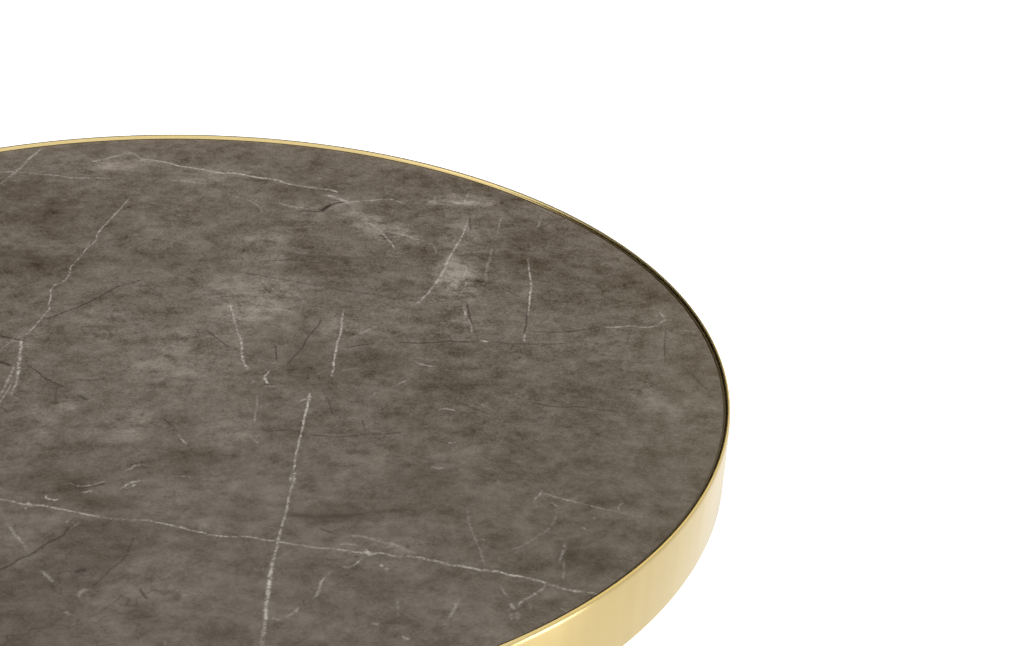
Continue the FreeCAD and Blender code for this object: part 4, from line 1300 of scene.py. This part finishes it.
def turn_round(piece: bpy.types.Object, steps: int, angle_deg: float) -> None:
    """Turns a section about the column into a closed ring, which is left in object mode.

    Args:
        piece: the piece, in edit mode.
        steps: how many steps the turn has.
        angle_deg: edges sharper than this stay crisp.
    """
    bpy.ops.mesh.select_all(action="SELECT")
    bpy.ops.mesh.delete(type="ONLY_FACE")
    bpy.ops.mesh.select_all(action="SELECT")
    bpy.ops.mesh.spin(steps=steps, angle=2 * math.pi, center=(0.0, 0.0, 0.0), axis=(0.0, 0.0, 1.0))
    bpy.ops.mesh.select_all(action="SELECT")
    bpy.ops.mesh.remove_doubles(threshold=MERGE)
    bpy.ops.mesh.normals_make_consistent(inside=False)
    bpy.ops.object.mode_set(mode="OBJECT")
    bpy.ops.object.shade_smooth_by_angle(angle=math.radians(angle_deg))
    LOG.info("modelled %s, %d faces", piece.name, len(piece.data.polygons))


@dataclass(frozen=True)
class RolledBand:
    """The rolled band's section and how finely it is turned."""

    outer: float = 225 * MM
    wall: float = 2.5 * MM
    low: float = 520 * MM
    high: float = 550 * MM
    lip: float = 1.7 * MM
    edge: float = 0.79 * MM
    shoulder: float = 2.4 * MM
    foot: float = 0.5 * MM
    steps: int = 480
    crisp_deg: float = 35.0

    def build(self, finish: bpy.types.Material) -> None:
        """Turns the band's rounded section about the column.

        Args:
            finish: the band's material.
        """
        inner = self.outer - self.wall
        band, out, height = section("rolled_band", inner, self.outer, self.low, self.high)
        pick(band, lambda spot: spot.z < height)
        bpy.ops.mesh.bevel(offset=self.foot, segments=5, affect="VERTICES")
        pick(band, lambda spot: spot.z > height and spot.x > out)
        bpy.ops.mesh.bevel(offset=self.edge, segments=12, affect="VERTICES")
        bpy.ops.transform.resize(value=(1.0, 1.0, self.shoulder / self.edge), center_override=(0.0, 0.0, self.high))
        pick(band, lambda spot: spot.z > height and spot.x < out)
        bpy.ops.mesh.bevel(offset=self.lip, segments=20, affect="VERTICES")
        turn_round(band, self.steps, self.crisp_deg)
        band.data.materials.append(finish)
        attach(band, "table")
        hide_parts("rim_band")


@dataclass(frozen=True)
class EdgeSeal:
    """The thin bead of seal between the stone and the band. The bead is real, and its dark colour is painted shade:
    the shadow along the stone's edge at the band.
    """

    inner: float = 222.05 * MM
    outer: float = 222.6 * MM
    low: float = 546.5 * MM
    top: float = 548.5 * MM
    climb: float = 0.12 * MM
    near: float = 0.01 * MM
    steps: int = 480
    crisp_deg: float = 50.0

    def build(self, finish: bpy.types.Material) -> None:
        """Turns the bead about the column, with its hollow upper face a little higher at the band.

        Args:
            finish: the seal's material, whose dark colour is painted shade.
        """
        seal, _, height = section("edge_seal", self.inner, self.outer, self.low, self.top)
        inside, outside = self.inner + self.near, self.outer - self.near
        pick(seal, lambda spot: spot.z > height)
        bpy.ops.mesh.subdivide(number_cuts=3)
        pick(seal, lambda spot: spot.z > height and spot.x > outside)
        bpy.ops.transform.translate(value=(0.0, 0.0, self.climb))
        pick(seal, lambda spot: spot.z > height and inside < spot.x < outside)
        bpy.ops.transform.translate(value=(0.0, 0.0, -self.climb / 2))
        turn_round(seal, self.steps, self.crisp_deg)
        seal.data.materials.append(finish)
        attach(seal, "table")


@dataclass
class Top:
    """The framed top: stone, band, board and what holds them."""

    nodes: dict[str, bpy.types.Object]
    view: Viewpoint

    def build(self, zinc: bpy.types.Material) -> None:
        """Models the band and dresses the top's pieces.

        Args:
            zinc: the finish of the screws.
        """
        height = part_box("stone_top")[1].z
        dress(self.nodes, VeinedStone().material(self.view, height), ["stone_top"])
        gold = SatinGold("gold_band", Grain.UPRIGHT).material()
        RolledBand().build(gold)
        # the seal's dark colour is painted shade, the shadow along the stone's edge at the band
        seal_and_shade = MouldedPlastic("seal_painted_shade", tint(50, 43, 34), tint(40, 34, 26), 0.25, 500.0)
        EdgeSeal().build(seal_and_shade.material())
        dress(self.nodes, gold, ["support_tabs"])
        silicone = MouldedPlastic("silicone", tint(206, 205, 200), tint(190, 188, 182), 0.38, 500.0)
        dress(self.nodes, silicone.material(), ["bedding_dabs"])
        dress(self.nodes, Fibreboard().material(), ["core_board"])
        dress(self.nodes, zinc, ["tab_screws"])


@dataclass
class Column:
    """The column with its plate, collars, plugs and tie rod."""

    nodes: dict[str, bpy.types.Object]

    def build(self, zinc: bpy.types.Material) -> None:
        """Dresses the column's pieces.

        Args:
            zinc: the finish of the plugs, rod and screws.
        """
        dress(self.nodes, SatinGold("gold_column", Grain.UPRIGHT).material(), ["column_tube"])
        dress(self.nodes, SatinGold("gold_collar", Grain.AROUND).material(), ["top_collar", "base_collar"])
        powder = MouldedPlastic("black_powder", tint(30, 30, 31), tint(38, 38, 39), 0.5, 1400.0)
        dress(self.nodes, powder.material(), ["mounting_plate"])
        dress(self.nodes, zinc, ["plate_screws", "top_plug", "base_plug", "tie_rod"])


@dataclass
class Base:
    """The weighted base with its cover, nut, washers and inserts."""

    nodes: dict[str, bpy.types.Object]

    def build(self, zinc: bpy.types.Material) -> None:
        """Dresses the base's pieces.

        Args:
            zinc: the finish of the nut, washers and inserts.
        """
        dress(self.nodes, SatinGold("gold_base", Grain.AROUND).material(), ["base_cover"])
        iron = PlainMetal("painted_iron", tint(52, 52, 53), tint(38, 38, 39), 0.62, 0.0, 260.0, 0.5)
        dress(self.nodes, iron.material(), ["base_weight"])
        dress(self.nodes, zinc, ["tie_washer", "lock_washer", "tie_nut", "foot_inserts"])


class FootPlace(Enum):
    """Where a levelling foot stands under the base."""

    RIGHT = "right"
    BACK = "back"
    LEFT = "left"
    FRONT = "front"


@dataclass
class LevellingFoot:
    """One screw-in foot: a stem and its pad."""

    nodes: dict[str, bpy.types.Object]
    place: FootPlace

    def build(self, zinc: bpy.types.Material, nylon: bpy.types.Material) -> None:
        """Dresses the foot's pieces.

        Args:
            zinc: the stem's finish.
            nylon: the pad's finish.
        """
        dress(self.nodes, zinc, [f"foot_stem_{self.place.value}"])
        dress(self.nodes, nylon, [f"foot_pad_{self.place.value}"])


def main() -> None:
    """Builds the table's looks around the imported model."""
    logging.basicConfig(level=logging.INFO, format="%(message)s")
    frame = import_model()
    nodes = frame["nodes"]
    view = Viewpoint()
    view.add_camera()
    Studio().build()
    zinc = PlainMetal("zinc_plate", tint(196, 199, 204), tint(170, 174, 180), 0.32, 1.0, 240.0, 0.03).material()
    nylon = MouldedPlastic("black_nylon", tint(26, 26, 27), tint(36, 36, 37), 0.52, 900.0).material()
    Top(nodes, view).build(zinc)
    Column(nodes).build(zinc)
    Base(nodes).build(zinc)
    for place in FootPlace:
        LevellingFoot(nodes, place).build(zinc, nylon)


if __name__ == "__main__":
    main()
